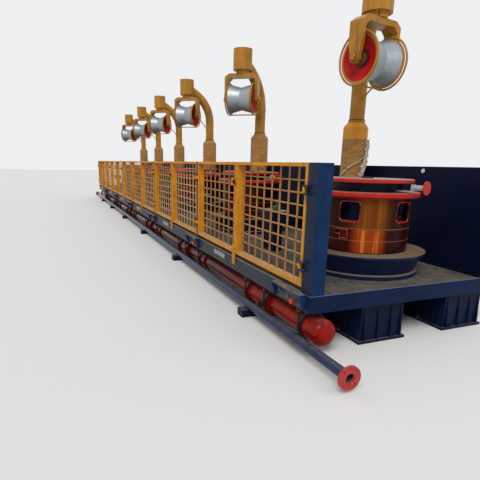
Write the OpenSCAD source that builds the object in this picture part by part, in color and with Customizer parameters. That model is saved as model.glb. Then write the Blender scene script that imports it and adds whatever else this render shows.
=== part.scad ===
// Six-block wire drawing machine: a long low bed with six upright drums behind a mesh
// fence, and a swan-neck column with an overhead guide pulley for each drum.
// Millimetres, +Z up, +X along the machine towards its pipe inlet, the fence on the -Y side.

/* [Bed] */
// Distance from one drawing block to the next
bay = 2800; // [2600:50:3200]
// Distance from an end of the bed to the hinge line of its first fence bay
end_run = 189; // [180:1:240]
// Depth of the bed from its fenced edge to its back
deck_d = 2150; // [2120:10:2400]
// Height of the deck above the floor
deck_z = 520; // [500:5:600]
// Height of the bed's edge beams
beam_h = 150; // [120:5:170]
// Thickness of the beams' webs and flanges
beam_t = 10; // [8:1:16]
// Width of the beams' flanges
beam_w = 90; // [60:5:140]
// Radius of the end beams' lower corners
beam_corner_r = 40; // [10:5:60]
// Thickness of the deck plate
deck_t = 12; // [8:1:20]
// Distance of a cross member from its block's drum axis, along the machine
member_off = 410; // [360:5:430]

/* [Pedestals and feet] */
// Length of a pedestal along the machine
ped_l = 1390; // [1200:10:1500]
// Depth of a pedestal
ped_d = 530; // [400:10:560]
// Distance of a front pedestal behind the fenced edge
ped_y = 570; // [560:5:620]
// Thickness of a pedestal's base plate
ped_base_t = 24; // [16:1:30]
// Width of the base plate's rim round the pedestal
ped_rim = 26; // [20:1:40]
// Thickness of the upright ribs
rib_t = 14; // [8:1:20]
// How far a rib stands out of the pedestal at the floor
rib_out = 24; // [12:1:26]
// Radius of the foundation bolts
bolt_r = 11; // [6:1:16]
// Distance of a front foot from its bay's start
foot_x = 1100; // [1000:10:1160]
// How far a front foot reaches out in front of the bed
foot_out = 130; // [120:5:150]
// Width of a front foot
foot_w = 130; // [80:5:160]
// Height of a front foot
foot_h = 78; // [60:1:90]

/* [Fence] */
// Height of the fence above the deck
fence_h = 1036; // [900:4:1150]
// Width of a corner post along the machine
corner_w = 142; // [120:2:160]
// Depth of a corner post
corner_d = 130; // [100:5:150]
// Side of a square fence post
post_w = 50; // [40:2:60]
// Gap between a post and the door leaf hung on it
hinge_gap = 15; // [12:1:18]
// Gap between two closed leaves where they meet
leaf_gap = 16; // [12:1:20]
// Height of the leaves' lower edge above the deck
leaf_lift = 44; // [35:1:60]
// Width of the leaves' frame tube
leaf_tube_w = 30; // [25:1:40]
// Depth of the leaves' frame tube
leaf_tube_d = 84; // [60:1:95]
// Spacing of the upright mesh bars
mesh_x = 160; // [120:5:200]
// Spacing of the level mesh bars
mesh_z = 102; // [80:2:140]
// Thickness of a mesh bar
mesh_t = 12; // [8:1:16]
// Heights of the hinges above the deck
hinge_low = 225; // [180:5:300]
// Height of the upper hinges above the deck
hinge_high = 830; // [700:5:860]
// Radius of the hinge knuckles
knuckle_r = 13; // [10:0.5:14]
// Length of a hinge knuckle
knuckle_l = 46; // [36:1:60]
// Radius of the hinge pins
pin_r = 6; // [4:0.5:8]
// Length of the drop bolts below the deck
drop_l = 78; // [60:1:90]

/* [Drums] */
// Distance of a drum's axis from the bed's near end or from its bay's start
drum_x = 746; // [730:2:800]
// Distance of the drums' axis behind the fenced edge
drum_y = 1064; // [1050:2:1090]
// Radius of a drum's drawing face
drum_r = 435; // [380:5:450]
// Thickness of a drum's wall
drum_t = 22; // [14:1:30]
// Height of a drum from its foot to its upper flange
drum_h = 513; // [460:1:560]
// Height of the drum's lower drawing band
band_h = 221; // [200:1:240]
// Radius of a drum's upper flange
flange_r = 507; // [480:1:520]
// Thickness of a drum's upper flange
flange_t = 45; // [35:1:55]
// Height of the windows in a drum's wall
window_h = 186; // [140:1:190]
// Width of the windows in a drum's wall
window_w = 190; // [140:1:210]
// Corner radius of the windows
window_r = 30; // [10:1:45]
// Number of windows round a drum
window_n = 5; // [3:1:6]
// Turn of the first window from the fence side
window_turn = 33; // [0:1:71]
// Width of the stepped notch in the lower band
notch_w = 130; // [90:2:150]
// Radius of the dust disc under a drum
disc_r = 617; // [560:1:630]
// Thickness of the dust disc
disc_t = 19; // [12:1:24]
// Height of the dust disc's top above the deck
disc_z = 224; // [210:1:250]
// Radius of the base ring at the deck
ring_r = 560; // [520:5:600]
// Height of the base ring
ring_h = 46; // [30:1:60]
// Radius of a block's fixed shaft
shaft_r = 60; // [50:1:80]
// Width of the shaft's shoulder under a drum
shoulder_w = 50; // [30:1:70]
// Gap between a drum's foot and the dust disc
drum_gap = 8; // [5:1:12]

/* [Take-off rings] */
// Radius of the take-off ring above a drum
ring_top_r = 442; // [400:1:460]
// Thickness of the take-off ring
ring_top_t = 35; // [25:1:45]
// Radius of the hub between drum and take-off ring
hub_r = 340; // [280:5:380]
// Height of that hub
hub_h = 84; // [78:1:110]
// Distance from the drum's axis to the guide roller's outer end
roller_reach = 640; // [600:5:650]
// Length of the guide roller
roller_l = 130; // [90:5:140]
// Radius of the guide roller
roller_r = 24; // [18:1:28]
// Radius of the guide roller's end disc
roller_disc_r = 60; // [45:1:64]

/* [Columns] */
// Distance of a column's axis from its bay's start
column_x = 1876; // [1850:2:1950]
// Distance of the columns' axis in front of the bed's back edge
column_back = 414; // [408:2:430]
// Width across the flats of the column casing
casing_w = 292; // [240:4:300]
// Height of the casing to its shoulder
casing_h = 1488; // [1400:4:1560]
// Height of the casing's sloped shoulder
shoulder_h = 56; // [40:1:80]
// Radius of the swan-neck pipe
neck_r = 92; // [80:1:100]
// Height of the neck's straight part above the casing
neck_rise = 425; // [380:5:450]
// Reach of the swan neck from the column's axis to the sleeve's axis
neck_reach = 556; // [540:2:580]
// Reach of the first block's neck, which stands out further
neck_reach_first = 740; // [660:5:800]
// Radius of the swan neck's bend
neck_bend_r = 690; // [660:5:720]
// Radius of the sleeve at the neck's end
sleeve_r = 157; // [140:1:165]
// Height of the sleeve
sleeve_h = 325; // [280:5:360]
// Height of the sleeve's lower edge above the deck
sleeve_z = 2535; // [2500:5:2600]
// Radius of the boss under the sleeve, on which the yoke hangs
boss_r = 110; // [90:1:120]
// Height of that boss
boss_h = 52; // [40:1:70]
// Fall of the thin stay from the yoke's end to the neck
stay_fall = 260; // [200:5:300]

/* [Overhead pulleys] */
// Height of the pulleys' axles above the deck
axle_z = 2090; // [2060:5:2120]
// Radius of a pulley's rims
rim_r = 240; // [200:2:244]
// Width of a pulley's rims
rim_t = 22; // [14:1:30]
// Width of a pulley over both rims
pulley_w = 420; // [360:5:430]
// Radius at the waist of the pulley
waist_r = 182; // [150:2:200]
// Radius of a pulley's axle
axle_r = 22; // [16:1:28]
// Clear width inside the yoke
yoke_in = 486; // [476:2:520]
// Thickness of the yoke's plates
yoke_t = 42; // [30:1:50]
// Breadth of the yoke's arms at the top
yoke_b = 176; // [150:2:180]
// Breadth of the yoke's arms at the axle
yoke_end_b = 116; // [90:2:140]
// Radius of the guard rings
guard_r = 264; // [256:1:280]
// Radius of the guard rings' bar
guard_bar_r = 8; // [6:0.5:10]

/* [Pipes] */
// Distance of the cooling header's axis behind the fenced edge
header_y = 150; // [145:1:180]
// Depth of the cooling header's axis below the deck
header_z = 330; // [305:1:332]
// Distance of the header's last full section inside the bed's ends
header_in = 5; // [0:5:60]
// Radius of the header's wide lengths
header_r = 118; // [100:1:120]
// Radius of the header's narrow lengths
header_narrow_r = 94; // [80:1:98]
// Distance of the water pipe's axis in front of the bed
water_y = 36; // [30:1:40]
// Outer radius of the water pipe
water_r = 42; // [32:1:44]
// Wall of the water pipe
water_wall = 6; // [4:0.5:8]
// How far the water pipe reaches past each end of the bed
water_out = 615; // [500:5:700]
// Radius of the water pipe's end flanges
water_flange_r = 92; // [88:1:96]
// Thickness of the water pipe's end flanges
water_flange_t = 20; // [14:1:24]
// Bolt circle radius of the end flanges
water_pcd_r = 70; // [66:1:74]
// Radius of the end flanges' bolt holes
water_hole_r = 8; // [6:0.5:9]

/* [Controls and housings] */
// Length of a control box
box_l = 490; // [400:5:520]
// Distance of a control box from its bay's start
box_in = 60; // [40:5:90]
// How far a control box's hood stands out of the bed's edge
box_out = 68; // [50:1:80]
// Height of a control box
box_h = 132; // [110:1:140]
// Thickness of a control box's plates
box_t = 8; // [5:1:12]
// Radius of the mushroom stop button
stop_r = 24; // [18:1:28]
// Depth of the rear housings
rear_d = 236; // [200:2:240]
// Gap between neighbouring rear housings
rear_gap = 10; // [6:1:20]

/* [Die boxes] */
// Distance of a die box's far end from its block's drum axis
die_far = 1330; // [1300:5:1360]
// Distance of a die box in front of the drum's face
die_out = 110; // [80:5:130]
// Length of a die box
die_l = 380; // [320:5:420]
// Depth of a die box
die_d = 220; // [180:5:260]
// Height of a die box's body
die_h = 150; // [120:5:180]
// Height of the stand under it
die_stand_h = 330; // [280:5:380]
// How far the body reaches past its stand
die_over = 55; // [40:5:70]

/* [Hidden] */
$fn = 64;
blocks = 6;

bed_l = blocks * bay + 2 * end_run;
x_end = bed_l / 2;
y_front = (foot_out - deck_d) / 2;
fit = 0.3;
hinge_run = 0.6;
column_y = deck_d - column_back;
drum_foot = disc_z + drum_gap;
drum_top = drum_foot + drum_h;
flange_top = drum_top + flange_t;
leaf_h = fence_h - leaf_lift;
hinge_y = -22;
lug_t = 14;
lug_clear = 6;
water_z = foot_h + water_r;
header_stops = [180, 850, 1300];
arm_turns = [-29, -61, -90, -90, -90, -90];
axle_turns = [100, 50, 48, 48, 48, 48];
neck_angle = 58;
yellow = "goldenrod";
blue = "midnightblue";

// Start of bay i: its near end on the bed's fenced top edge
module at_bay(i) {
    translate([x_end - (i - 1) * bay, y_front, deck_z]) children();
}

// Both ends of the bed, the far one as a mirror image
module at_ends() {
    for (side = [0, 1]) {
        mirror([side, 0, 0]) translate([x_end, y_front, deck_z]) children();
    }
}

// Solid from a profile drawn in X and Z, from y0 towards +Y
module slab_xz(y0, depth) {
    translate([0, y0 + depth, 0]) rotate([90, 0, 0]) linear_extrude(depth) children();
}

// Solid from a profile drawn in Y and Z, from x0 towards +X
module slab_yz(x0, length) {
    translate([x0, 0, 0]) rotate([90, 0, 90]) linear_extrude(length) children();
}

// Rectangle with round corners, centred
module round_rect(w, h, r) {
    for (sx = [-1, 1], sy = [-1, 1]) {
        translate([sx * (w / 2 - r), sy * (h / 2 - r)]) circle(r);
    }
    square([w - 2 * r, h], center = true);
    square([w, h - 2 * r], center = true);
}

// Round bar between two points
module bar_between(a, b, r) {
    d = b - a;
    translate(a) rotate([0, acos(d[2] / norm(d)), atan2(d[1], d[0])]) cylinder(h = norm(d), r = r, $fn = 32);
}

module deck_plate() {
    color("dimgray")
    translate([-x_end + beam_t, y_front + beam_t, deck_z - deck_t])
        cube([bed_l - 2 * beam_t, deck_d - 2 * beam_t, deck_t]);
}

// Channel section with its web at y = 0 and its flanges towards +Y
module channel_profile() {
    difference() {
        translate([0, -beam_h]) square([beam_w, beam_h]);
        translate([beam_t, beam_t - beam_h]) square([beam_w, beam_h - deck_t - 2 * beam_t]);
        translate([beam_t, -deck_t]) square([beam_w, deck_t]);
    }
}

module front_beam() {
    color("slategray")
    translate([0, y_front, deck_z]) slab_yz(-x_end + beam_t, bed_l - 2 * beam_t) channel_profile();
}

module rear_beam() {
    color(blue)
    translate([0, y_front + deck_d, deck_z]) mirror([0, 1, 0])
        slab_yz(-x_end + beam_t, bed_l - 2 * beam_t) channel_profile();
}

// The web of an end beam, with its lower corner at the fence rounded off
module end_web_profile() {
    translate([0, beam_corner_r - beam_h]) square([deck_d, beam_h - beam_corner_r]);
    translate([beam_corner_r, -beam_h]) square([deck_d - beam_corner_r, beam_h]);
    translate([beam_corner_r, beam_corner_r - beam_h]) circle(beam_corner_r);
}

module end_beams() {
    color("navy")
    at_ends() {
        slab_yz(-beam_t, beam_t) end_web_profile();
        translate([-beam_w, beam_w, -beam_h]) cube([beam_w - beam_t, deck_d - 2 * beam_w, beam_t]);
        translate([-beam_w, beam_w, -deck_t - beam_t]) cube([beam_w - beam_t, deck_d - 2 * beam_w, beam_t]);
    }
}

module cross_members() {
    color(blue)
    for (i = [1:blocks], s = [0, 1]) {
        at_bay(i) translate([-drum_x + (1 - 2 * s) * member_off - beam_w / 2, beam_w, -beam_h])
            cube([beam_w, deck_d - 2 * beam_w, beam_h - deck_t]);
    }
}

// One pedestal: housing, base plate, upright ribs and foundation bolts, its plan corner at the origin
module pedestal() {
    h = deck_z - beam_h;
    translate([ped_rim, ped_rim, 0]) cube([ped_l - 2 * ped_rim, ped_d - 2 * ped_rim, h]);
    cube([ped_l, ped_d, ped_base_t]);
    for (x = [0.235, 0.5, 0.765], side = [0, 1]) {
        translate([x * ped_l, side == 0 ? ped_rim / 2 : ped_d - ped_rim / 2, 0]) cylinder(h = 3 * ped_base_t, r = bolt_r);
    }
    for (x = [0.1, 0.37, 0.63, 0.9], side = [0, 1]) {
        translate([x * ped_l, side * ped_d, 0]) mirror([0, side, 0])
            slab_yz(-rib_t / 2, rib_t)
            polygon([[ped_rim - rib_out, 0], [ped_rim + 1, 0], [ped_rim + 1, h - beam_t],
                     [ped_rim - rib_out, ped_base_t * 4]]);
    }
    for (y = [0.12, 0.4, 0.68, 0.9], side = [0, 1]) {
        translate([side * ped_l, y * ped_d, 0]) mirror([side, 0, 0])
            slab_xz(-rib_t / 2, rib_t)
            polygon([[ped_rim - rib_out, 0], [ped_rim + 1, 0], [ped_rim + 1, h - beam_t],
                     [ped_rim - rib_out, ped_base_t * 4]]);
    }
}

module front_pedestals() {
    color(blue)
    for (i = [1:blocks]) {
        at_bay(i) translate([-drum_x - ped_l / 2, ped_y, -deck_z]) pedestal();
    }
}

module rear_pedestals() {
    color(blue)
    for (i = [1:blocks]) {
        at_bay(i) translate([-drum_x - ped_l / 2, deck_d - ped_d - beam_w / 2, -deck_z]) pedestal();
    }
}

// Outriggers on the floor from the pedestals to the pipes in front of the bed
module front_feet() {
    color("darkslateblue")
    for (i = [1:blocks]) {
        at_bay(i) translate([-foot_x - foot_w / 2, -foot_out, -deck_z]) {
            cube([foot_w, foot_out + ped_y, foot_h - 20]);
            cube([foot_w, foot_out + header_y, foot_h]);
        }
    }
}

// Fixed half of a hinge: two lugs and a pin, for a leaf that lies towards -X of its axis
module hinge_lugs(h, reach) {
    for (side = [-1, 1]) {
        z = h + (side < 0 ? -knuckle_l / 2 - hinge_run - lug_t : knuckle_l / 2 + hinge_run);
        translate([0, hinge_y, z]) {
            cylinder(h = lug_t, r = knuckle_r);
            translate([lug_clear, -knuckle_r, 0]) cube([reach - lug_clear, knuckle_r - hinge_y, lug_t]);
            translate([0, -knuckle_r, 0]) cube([lug_clear + 1, 2 * knuckle_r, lug_t]);
        }
    }
    translate([0, hinge_y, h - knuckle_l / 2 - lug_t]) cylinder(h = knuckle_l + 2 * lug_t, r = pin_r);
}

module hinge_pair(reach) {
    for (h = [hinge_low, hinge_high]) {
        hinge_lugs(h, reach);
    }
}

module corner_posts() {
    color("mediumblue")
    at_ends() {
        translate([-corner_w, 0, 0]) cube([corner_w, corner_d, fence_h]);
        translate([-corner_w - hinge_gap, 0, 0]) hinge_pair(hinge_gap + corner_w / 3);
    }
}

module fence_posts() {
    color("darkslategray")
    for (i = [1:blocks - 1]) {
        at_bay(i) translate([-end_run - bay, 0, 0]) {
            translate([-post_w / 2, 0, 0]) cube([post_w, leaf_tube_d, fence_h]);
            translate([-post_w, 0, 0]) cube([post_w * 2, leaf_tube_d + post_w, 12]);
            for (side = [0, 1]) {
                mirror([side, 0, 0]) translate([-post_w / 2 - hinge_gap, 0, 0])
                    hinge_pair(hinge_gap + post_w / 2 - 3);
            }
        }
    }
}

// One mesh leaf of width w, hung at x = 0 and reaching towards -X
module leaf(w, latched) {
    inner_w = w - 2 * leaf_tube_w;
    inner_h = leaf_h - 2 * leaf_tube_w;
    nx = floor(inner_w / mesh_x);
    nz = floor(inner_h / mesh_z);
    translate([-w, 0, leaf_lift]) {
        difference() {
            cube([w, leaf_tube_d, leaf_h]);
            translate([leaf_tube_w, -1, leaf_tube_w]) cube([inner_w, leaf_tube_d + 2, inner_h]);
        }
        for (k = [0:nx]) {
            x = leaf_tube_w + inner_w / 2 + (k - nx / 2) * mesh_x - mesh_t / 2;
            if (x > leaf_tube_w + mesh_t && x < w - leaf_tube_w - 2 * mesh_t) {
                translate([x, leaf_tube_d - 2 * mesh_t, leaf_tube_w - 1]) cube([mesh_t, mesh_t, inner_h + 2]);
            }
        }
        for (k = [0:nz]) {
            z = leaf_tube_w + inner_h / 2 + (k - nz / 2) * mesh_z - mesh_t / 2;
            if (z > leaf_tube_w + mesh_t && z < leaf_h - leaf_tube_w - 2 * mesh_t) {
                translate([leaf_tube_w - 1, leaf_tube_d - 1.5 * mesh_t, z]) cube([inner_w + 2, mesh_t, mesh_t]);
            }
        }
    }
    for (h = [hinge_low, hinge_high]) {
        difference() {
            union() {
                translate([0, hinge_y, h - knuckle_l / 2]) cylinder(h = knuckle_l, r = knuckle_r);
                translate([-leaf_tube_w, hinge_y, h - knuckle_l / 2]) cube([leaf_tube_w, -hinge_y, knuckle_l]);
            }
            translate([0, hinge_y, h - knuckle_l]) cylinder(h = 2 * knuckle_l, r = pin_r + fit);
        }
    }
    translate([-w + 4, -6, leaf_lift + 8]) cube([22, 7, 90]);
    translate([-w + 4, -18, -drop_l]) cube([22, 12.5, drop_l + leaf_lift + 98]);
    if (latched) {
        translate([-w + 2, -36, hinge_high - 40]) cube([leaf_tube_w + 8, 37, 84]);
    } else {
        translate([-w + leaf_tube_w / 2, 1, hinge_high]) rotate([90, 0, 0]) cylinder(h = 40, r = 13);
    }
}

// Distance from bay i's start to its leaf meeting, and the widths of its two leaves
function right_axis(i) = i == 1 ? corner_w + hinge_gap : end_run + post_w / 2 + hinge_gap;
function left_axis(i) = i == blocks ? end_run * 2 + bay - corner_w - hinge_gap : end_run + bay - post_w / 2 - hinge_gap;
function meeting() = end_run + bay / 2;

module door_right(i) {
    color(yellow)
    at_bay(i) translate([-right_axis(i), 0, 0]) leaf(meeting() - right_axis(i) - leaf_gap / 2, false);
}

module door_left(i) {
    color(yellow)
    at_bay(i) translate([-left_axis(i), 0, 0]) mirror([1, 0, 0]) leaf(left_axis(i) - meeting() - leaf_gap / 2, true);
}

// A hood between two cheeks that slope back to the panel, which carries the buttons
module control_boxes() {
    color("steelblue")
    for (i = [1:blocks]) {
        at_bay(i) translate([-box_l - box_in, 0, 0]) {
            translate([0, -box_out, -box_t]) cube([box_l, box_out, box_t]);
            translate([0, -box_t, -box_h]) cube([box_l, box_t, box_h]);
            for (x = [0, box_l - box_t]) {
                slab_yz(x, box_t)
                    polygon([[0, 0], [-box_out, 0], [-box_out, -2 * box_t], [-box_out / 2, -box_h], [0, -box_h]]);
            }
        }
    }
}

// A button that stands out of the panel by l, with a head of radius r from h0 on
module button(x, z, l, h0, r) {
    translate([x, -box_t, z]) rotate([90, 0, 0]) {
        cylinder(h = l, r = 0.45 * r);
        translate([0, 0, h0]) cylinder(h = l - h0, r = r);
    }
}

module control_buttons() {
    color("crimson")
    for (i = [1:blocks]) {
        at_bay(i) translate([-box_in, 0, 0]) {
            button(-0.84 * box_l, -box_h / 2, 14, 0, 12);
            button(-0.755 * box_l, -box_h / 2 - 6, 14, 0, 12);
            button(-0.535 * box_l, -box_h / 2 - 18, 20, 0, 12);
            button(-0.305 * box_l, -box_h / 2 - 28, 46, 30, stop_r);
        }
    }
}

// A length of the header from x0 back to x1
module header_length(x0, x1, r) {
    translate([x1, 0, 0]) rotate([0, 90, 0]) cylinder(h = x0 - x1, r = r);
}

module dome(r, depth) {
    rotate_extrude() intersection() {
        scale([r / depth, 1]) circle(depth);
        square([r, depth]);
    }
}

module cooling_header() {
    color("firebrick")
    translate([0, y_front + header_y, deck_z - header_z]) {
        header_length(x_end - header_in, header_in - x_end, header_narrow_r);
        for (i = [1:blocks]) {
            translate([x_end - (i - 1) * bay, 0, 0]) {
                header_length(i == 1 ? -header_in : 0, -header_stops[0], header_r);
                header_length(-header_stops[1], -header_stops[2], header_r - 10);
                for (x = header_stops) {
                    header_length(40 - x, -x - 40, header_r);
                }
            }
        }
        for (side = [0, 1]) {
            mirror([side, 0, 0]) translate([x_end - header_in, 0, 0]) {
                rotate([0, 90, 0]) dome(header_r, 70);
                translate([-120, 0, 0]) rotate([0, 90, 0]) cylinder(h = 120, r = header_r);
            }
        }
    }
}

// A split clamp round the header with a hanger up to the bed
module header_clamps() {
    color("dimgray")
    for (i = [1:blocks], x = header_stops) {
        at_bay(i) translate([-x - 22, header_y, -header_z]) {
            difference() {
                union() {
                    rotate([0, 90, 0]) cylinder(h = 44, r = header_r + 16);
                    translate([0, -30, 0]) cube([44, 60, header_z - deck_t]);
                }
                translate([-1, 0, 0]) rotate([0, 90, 0]) cylinder(h = 46, r = header_r + fit);
            }
        }
    }
}

module water_pipe() {
    color("lightslategray")
    translate([0, y_front - water_y, water_z]) rotate([0, 90, 0]) difference() {
        cylinder(h = bed_l + 2 * (water_out - water_flange_t), r = water_r, center = true);
        cylinder(h = bed_l + 2 * water_out, r = water_r - water_wall, center = true);
    }
}

module water_flanges() {
    color("indianred")
    for (side = [0, 1]) {
        mirror([side, 0, 0]) translate([x_end + water_out - water_flange_t, y_front - water_y, water_z])
            rotate([0, 90, 0]) difference() {
                cylinder(h = water_flange_t, r = water_flange_r);
                translate([0, 0, -1]) cylinder(h = water_flange_t + 2, r = water_r - water_wall + 1);
                for (k = [0:3]) {
                    rotate(45 + 90 * k) translate([water_pcd_r, 0, -1]) cylinder(h = water_flange_t + 2, r = water_hole_r);
                }
            }
    }
}

// Fixed base of each block: ring, skirt, dust disc and the shaft that carries drum and take-off ring
module block_bases() {
    color("darkslateblue")
    for (i = [1:blocks]) {
        at_bay(i) translate([-drum_x, drum_y, 0]) {
            cylinder(h = ring_h, r = ring_r);
            translate([0, 0, ring_h]) cylinder(h = disc_z - disc_t - ring_h, r1 = ring_r - 30, r2 = disc_r - 22);
            translate([0, 0, disc_z - disc_t]) cylinder(h = disc_t, r = disc_r);
            translate([0, 0, disc_z - 1]) cylinder(h = drum_top - disc_z + 1 - fit, r = shaft_r + shoulder_w);
            translate([0, 0, drum_top - 2]) cylinder(h = flange_t + hub_h + ring_top_t + 12, r = shaft_r);
        }
    }
}

module window_cut() {
    rotate([90, 0, 0]) linear_extrude(drum_r + 20) round_rect(window_w, window_h, window_r);
}

// Stepped notch in the lower band, where the wire passes up to the next band
module notch_cut() {
    z0 = band_h / 2 + 12;
    z1 = band_h - 14;
    slab_xz(-drum_r - 20, drum_r)
        polygon([[-notch_w / 2, z1], [-notch_w / 2, (z0 + z1) / 2], [-12, (z0 + z1) / 2], [-12, z0],
                 [notch_w / 2, z0], [notch_w / 2, z1]]);
}

module drum(i) {
    color("peru")
    at_bay(i) translate([-drum_x, drum_y, drum_foot]) difference() {
        rotate_extrude($fn = 96) polygon([
            [drum_r - drum_t, 0], [drum_r + 3, 0], [drum_r + 3, band_h / 2], [drum_r, band_h / 2 + 3],
            [drum_r, band_h - 4], [drum_r + 5, band_h], [drum_r + 5, band_h + 5], [drum_r, band_h + 9],
            [drum_r, drum_h - 12], [flange_r - 10, drum_h], [flange_r, drum_h + 8],
            [flange_r, drum_h + flange_t - 8], [flange_r - 8, drum_h + flange_t],
            [shaft_r + fit, drum_h + flange_t], [shaft_r + fit, drum_h], [shaft_r + shoulder_w + 10, drum_h],
            [drum_r - drum_t, drum_h - 12]]);
        for (k = [0:window_n - 1]) {
            rotate(window_turn + k * 360 / window_n) translate([0, 0, band_h + 66 + window_h / 2]) window_cut();
        }
        rotate(window_turn - 9) notch_cut();
    }
}

module takeoff_ring(i) {
    roller_z = flange_top + hub_h / 2 + 10;
    color("firebrick")
    at_bay(i) translate([-drum_x, drum_y, 0]) {
        rotate_extrude($fn = 96) polygon([
            [shaft_r + fit, flange_top + fit], [shaft_r + 24, flange_top + fit], [shaft_r + 24, flange_top + 6],
            [hub_r, flange_top + 6], [hub_r, flange_top + hub_h], [ring_top_r - 6, flange_top + hub_h],
            [ring_top_r, flange_top + hub_h + 6], [ring_top_r, flange_top + hub_h + ring_top_t - 6],
            [ring_top_r - 6, flange_top + hub_h + ring_top_t], [shaft_r + fit, flange_top + hub_h + ring_top_t]]);
        rotate(14) {
            translate([hub_r - 10, -26, flange_top + 12]) cube([roller_reach - roller_l - hub_r + 10, 52, 10]);
            translate([roller_reach - roller_l - 14, -26, flange_top + 12]) cube([14, 52, hub_h - 15]);
            translate([roller_reach - roller_l - 1, 0, roller_z]) rotate([0, 90, 0]) cylinder(h = roller_l - 9, r = roller_r);
            translate([roller_reach - 12, 0, roller_z]) rotate([0, 90, 0]) cylinder(h = 12, r = roller_disc_r);
        }
    }
}

module rear_housings() {
    color(blue)
    for (i = [1:blocks]) {
        x0 = i == 1 ? 0 : end_run;
        x1 = i == blocks ? bay + 2 * end_run : bay + end_run - rear_gap;
        at_bay(i) translate([-x1, deck_d - rear_d, 0]) cube([x1 - x0, rear_d, fence_h]);
    }
}

module at_column(i) {
    at_bay(i) translate([-column_x, column_y, 0]) children();
}

module column_casings() {
    color("darkgoldenrod")
    for (i = [1:blocks]) {
        at_column(i) rotate(22.5) {
            r = casing_w / 2 / cos(22.5);
            cylinder(h = casing_h, r = r, $fn = 8);
            translate([0, 0, casing_h]) cylinder(h = shoulder_h, r1 = r, r2 = (neck_r + 14) / cos(22.5), $fn = 8);
        }
    }
}

function reach(i) = i == 1 ? neck_reach_first : neck_reach;

// Swan-neck pipe: upright with a weld band, bent over, and a stub saddled against the sleeve
module swan_neck(reach) {
    z0 = casing_h + shoulder_h;
    z1 = z0 + neck_rise;
    weld = 10;
    stub_l = (reach - neck_bend_r * (1 - cos(neck_angle))) / sin(neck_angle);
    translate([0, 0, z0]) cylinder(h = neck_rise - 3, r = neck_r);
    translate([0, 0, z0]) cylinder(h = 34, r = neck_r + 10);
    translate([0, 0, z1 - weld]) cylinder(h = 2 * weld, r = neck_r + 4);
    translate([neck_bend_r, 0, z1]) rotate([90, 0, 0]) rotate([0, 0, 180 - neck_angle])
        rotate_extrude(angle = neck_angle) translate([neck_bend_r, 0]) circle(neck_r);
    difference() {
        translate([neck_bend_r * (1 - cos(neck_angle)), 0, z1 + neck_bend_r * sin(neck_angle)])
            rotate([0, neck_angle, 0]) translate([0, 0, -weld]) cylinder(h = stub_l + weld, r = neck_r + 4);
        translate([reach, 0, sleeve_z - sleeve_r]) cylinder(h = sleeve_h + 4 * sleeve_r, r = sleeve_r);
    }
}

module swan_necks() {
    color(yellow)
    for (i = [1:blocks]) {
        at_column(i) rotate(arm_turns[i - 1]) swan_neck(reach(i));
    }
}

module sleeves() {
    color(yellow)
    for (i = [1:blocks]) {
        at_column(i) rotate(arm_turns[i - 1]) translate([reach(i), 0, sleeve_z]) {
            cylinder(h = sleeve_h, r = sleeve_r);
            translate([0, 0, -boss_h]) difference() {
                cylinder(h = boss_h + 1, r = boss_r);
                translate([-boss_r - 10, -5, -1]) cube([2 * boss_r + 20, 10, boss_h]);
            }
        }
    }
}

module at_axle(i) {
    at_column(i) rotate(arm_turns[i - 1]) translate([reach(i), 0, axle_z])
        rotate(axle_turns[i - 1] - arm_turns[i - 1]) children();
}

module yoke_front_profile() {
    half = yoke_in / 2;
    top = sleeve_z - boss_h - axle_z;
    cut = 50;
    polygon([[-half - yoke_t, -75], [-half, -75], [-half, top - 60 - cut], [-half + cut, top - 60],
             [half - cut, top - 60], [half, top - 60 - cut], [half, -75], [half + yoke_t, -75],
             [half + yoke_t, top - 50], [half - 30, top], [30 - half, top], [-half - yoke_t, top - 50]]);
}

module yoke_side_profile() {
    top = sleeve_z - boss_h - axle_z;
    circle(yoke_end_b / 2);
    polygon([[-yoke_end_b / 2, 0], [yoke_end_b / 2, 0], [yoke_b / 2, 150], [yoke_b / 2, top], [-yoke_b / 2, top],
             [-yoke_b / 2, 150]]);
}

module yokes() {
    color(yellow)
    for (i = [1:blocks]) {
        at_axle(i) {
            intersection() {
                slab_xz(-yoke_b, 2 * yoke_b) yoke_front_profile();
                slab_yz(-yoke_in, 2 * yoke_in) yoke_side_profile();
            }
            rotate([0, 90, 0]) cylinder(h = yoke_in + 2 * yoke_t + 30, r = axle_r, center = true);
        }
        tie_rod(i);
    }
}

// Thin stay from the yoke's end back to the neck pipe
module tie_rod(i) {
    arm = arm_turns[i - 1];
    turn = axle_turns[i - 1];
    out = (yoke_in + yoke_t) / 2;
    a = [reach(i) * cos(arm) + out * cos(turn), reach(i) * sin(arm) + out * sin(turn), axle_z - 30];
    flat = norm([a[0], a[1]]);
    b = [a[0] * (neck_r - 20) / flat, a[1] * (neck_r - 20) / flat, a[2] - stay_fall];
    at_column(i) difference() {
        bar_between(a, b, 9);
        cylinder(h = axle_z, r = neck_r + fit);
    }
}

module guard_rings() {
    ring_x = pulley_w / 2 + 8;
    guard_rod_r = guard_bar_r - 2;
    color(yellow)
    for (i = [1:blocks]) {
        at_axle(i) {
            for (side = [-1, 1]) {
                translate([side * ring_x, 0, 0]) rotate([0, 90, 0])
                    rotate_extrude() translate([guard_r, 0]) circle(guard_bar_r, $fn = 24);
                mirror([side < 0 ? 1 : 0, 0, 0]) translate([ring_x, 0, guard_r]) rotate([0, 90, 0])
                    cylinder(h = yoke_in / 2 - ring_x, r = guard_rod_r);
            }
            translate([0, 0, -guard_r]) rotate([0, 90, 0]) cylinder(h = 2 * ring_x, r = guard_rod_r, center = true);
        }
    }
}

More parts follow.
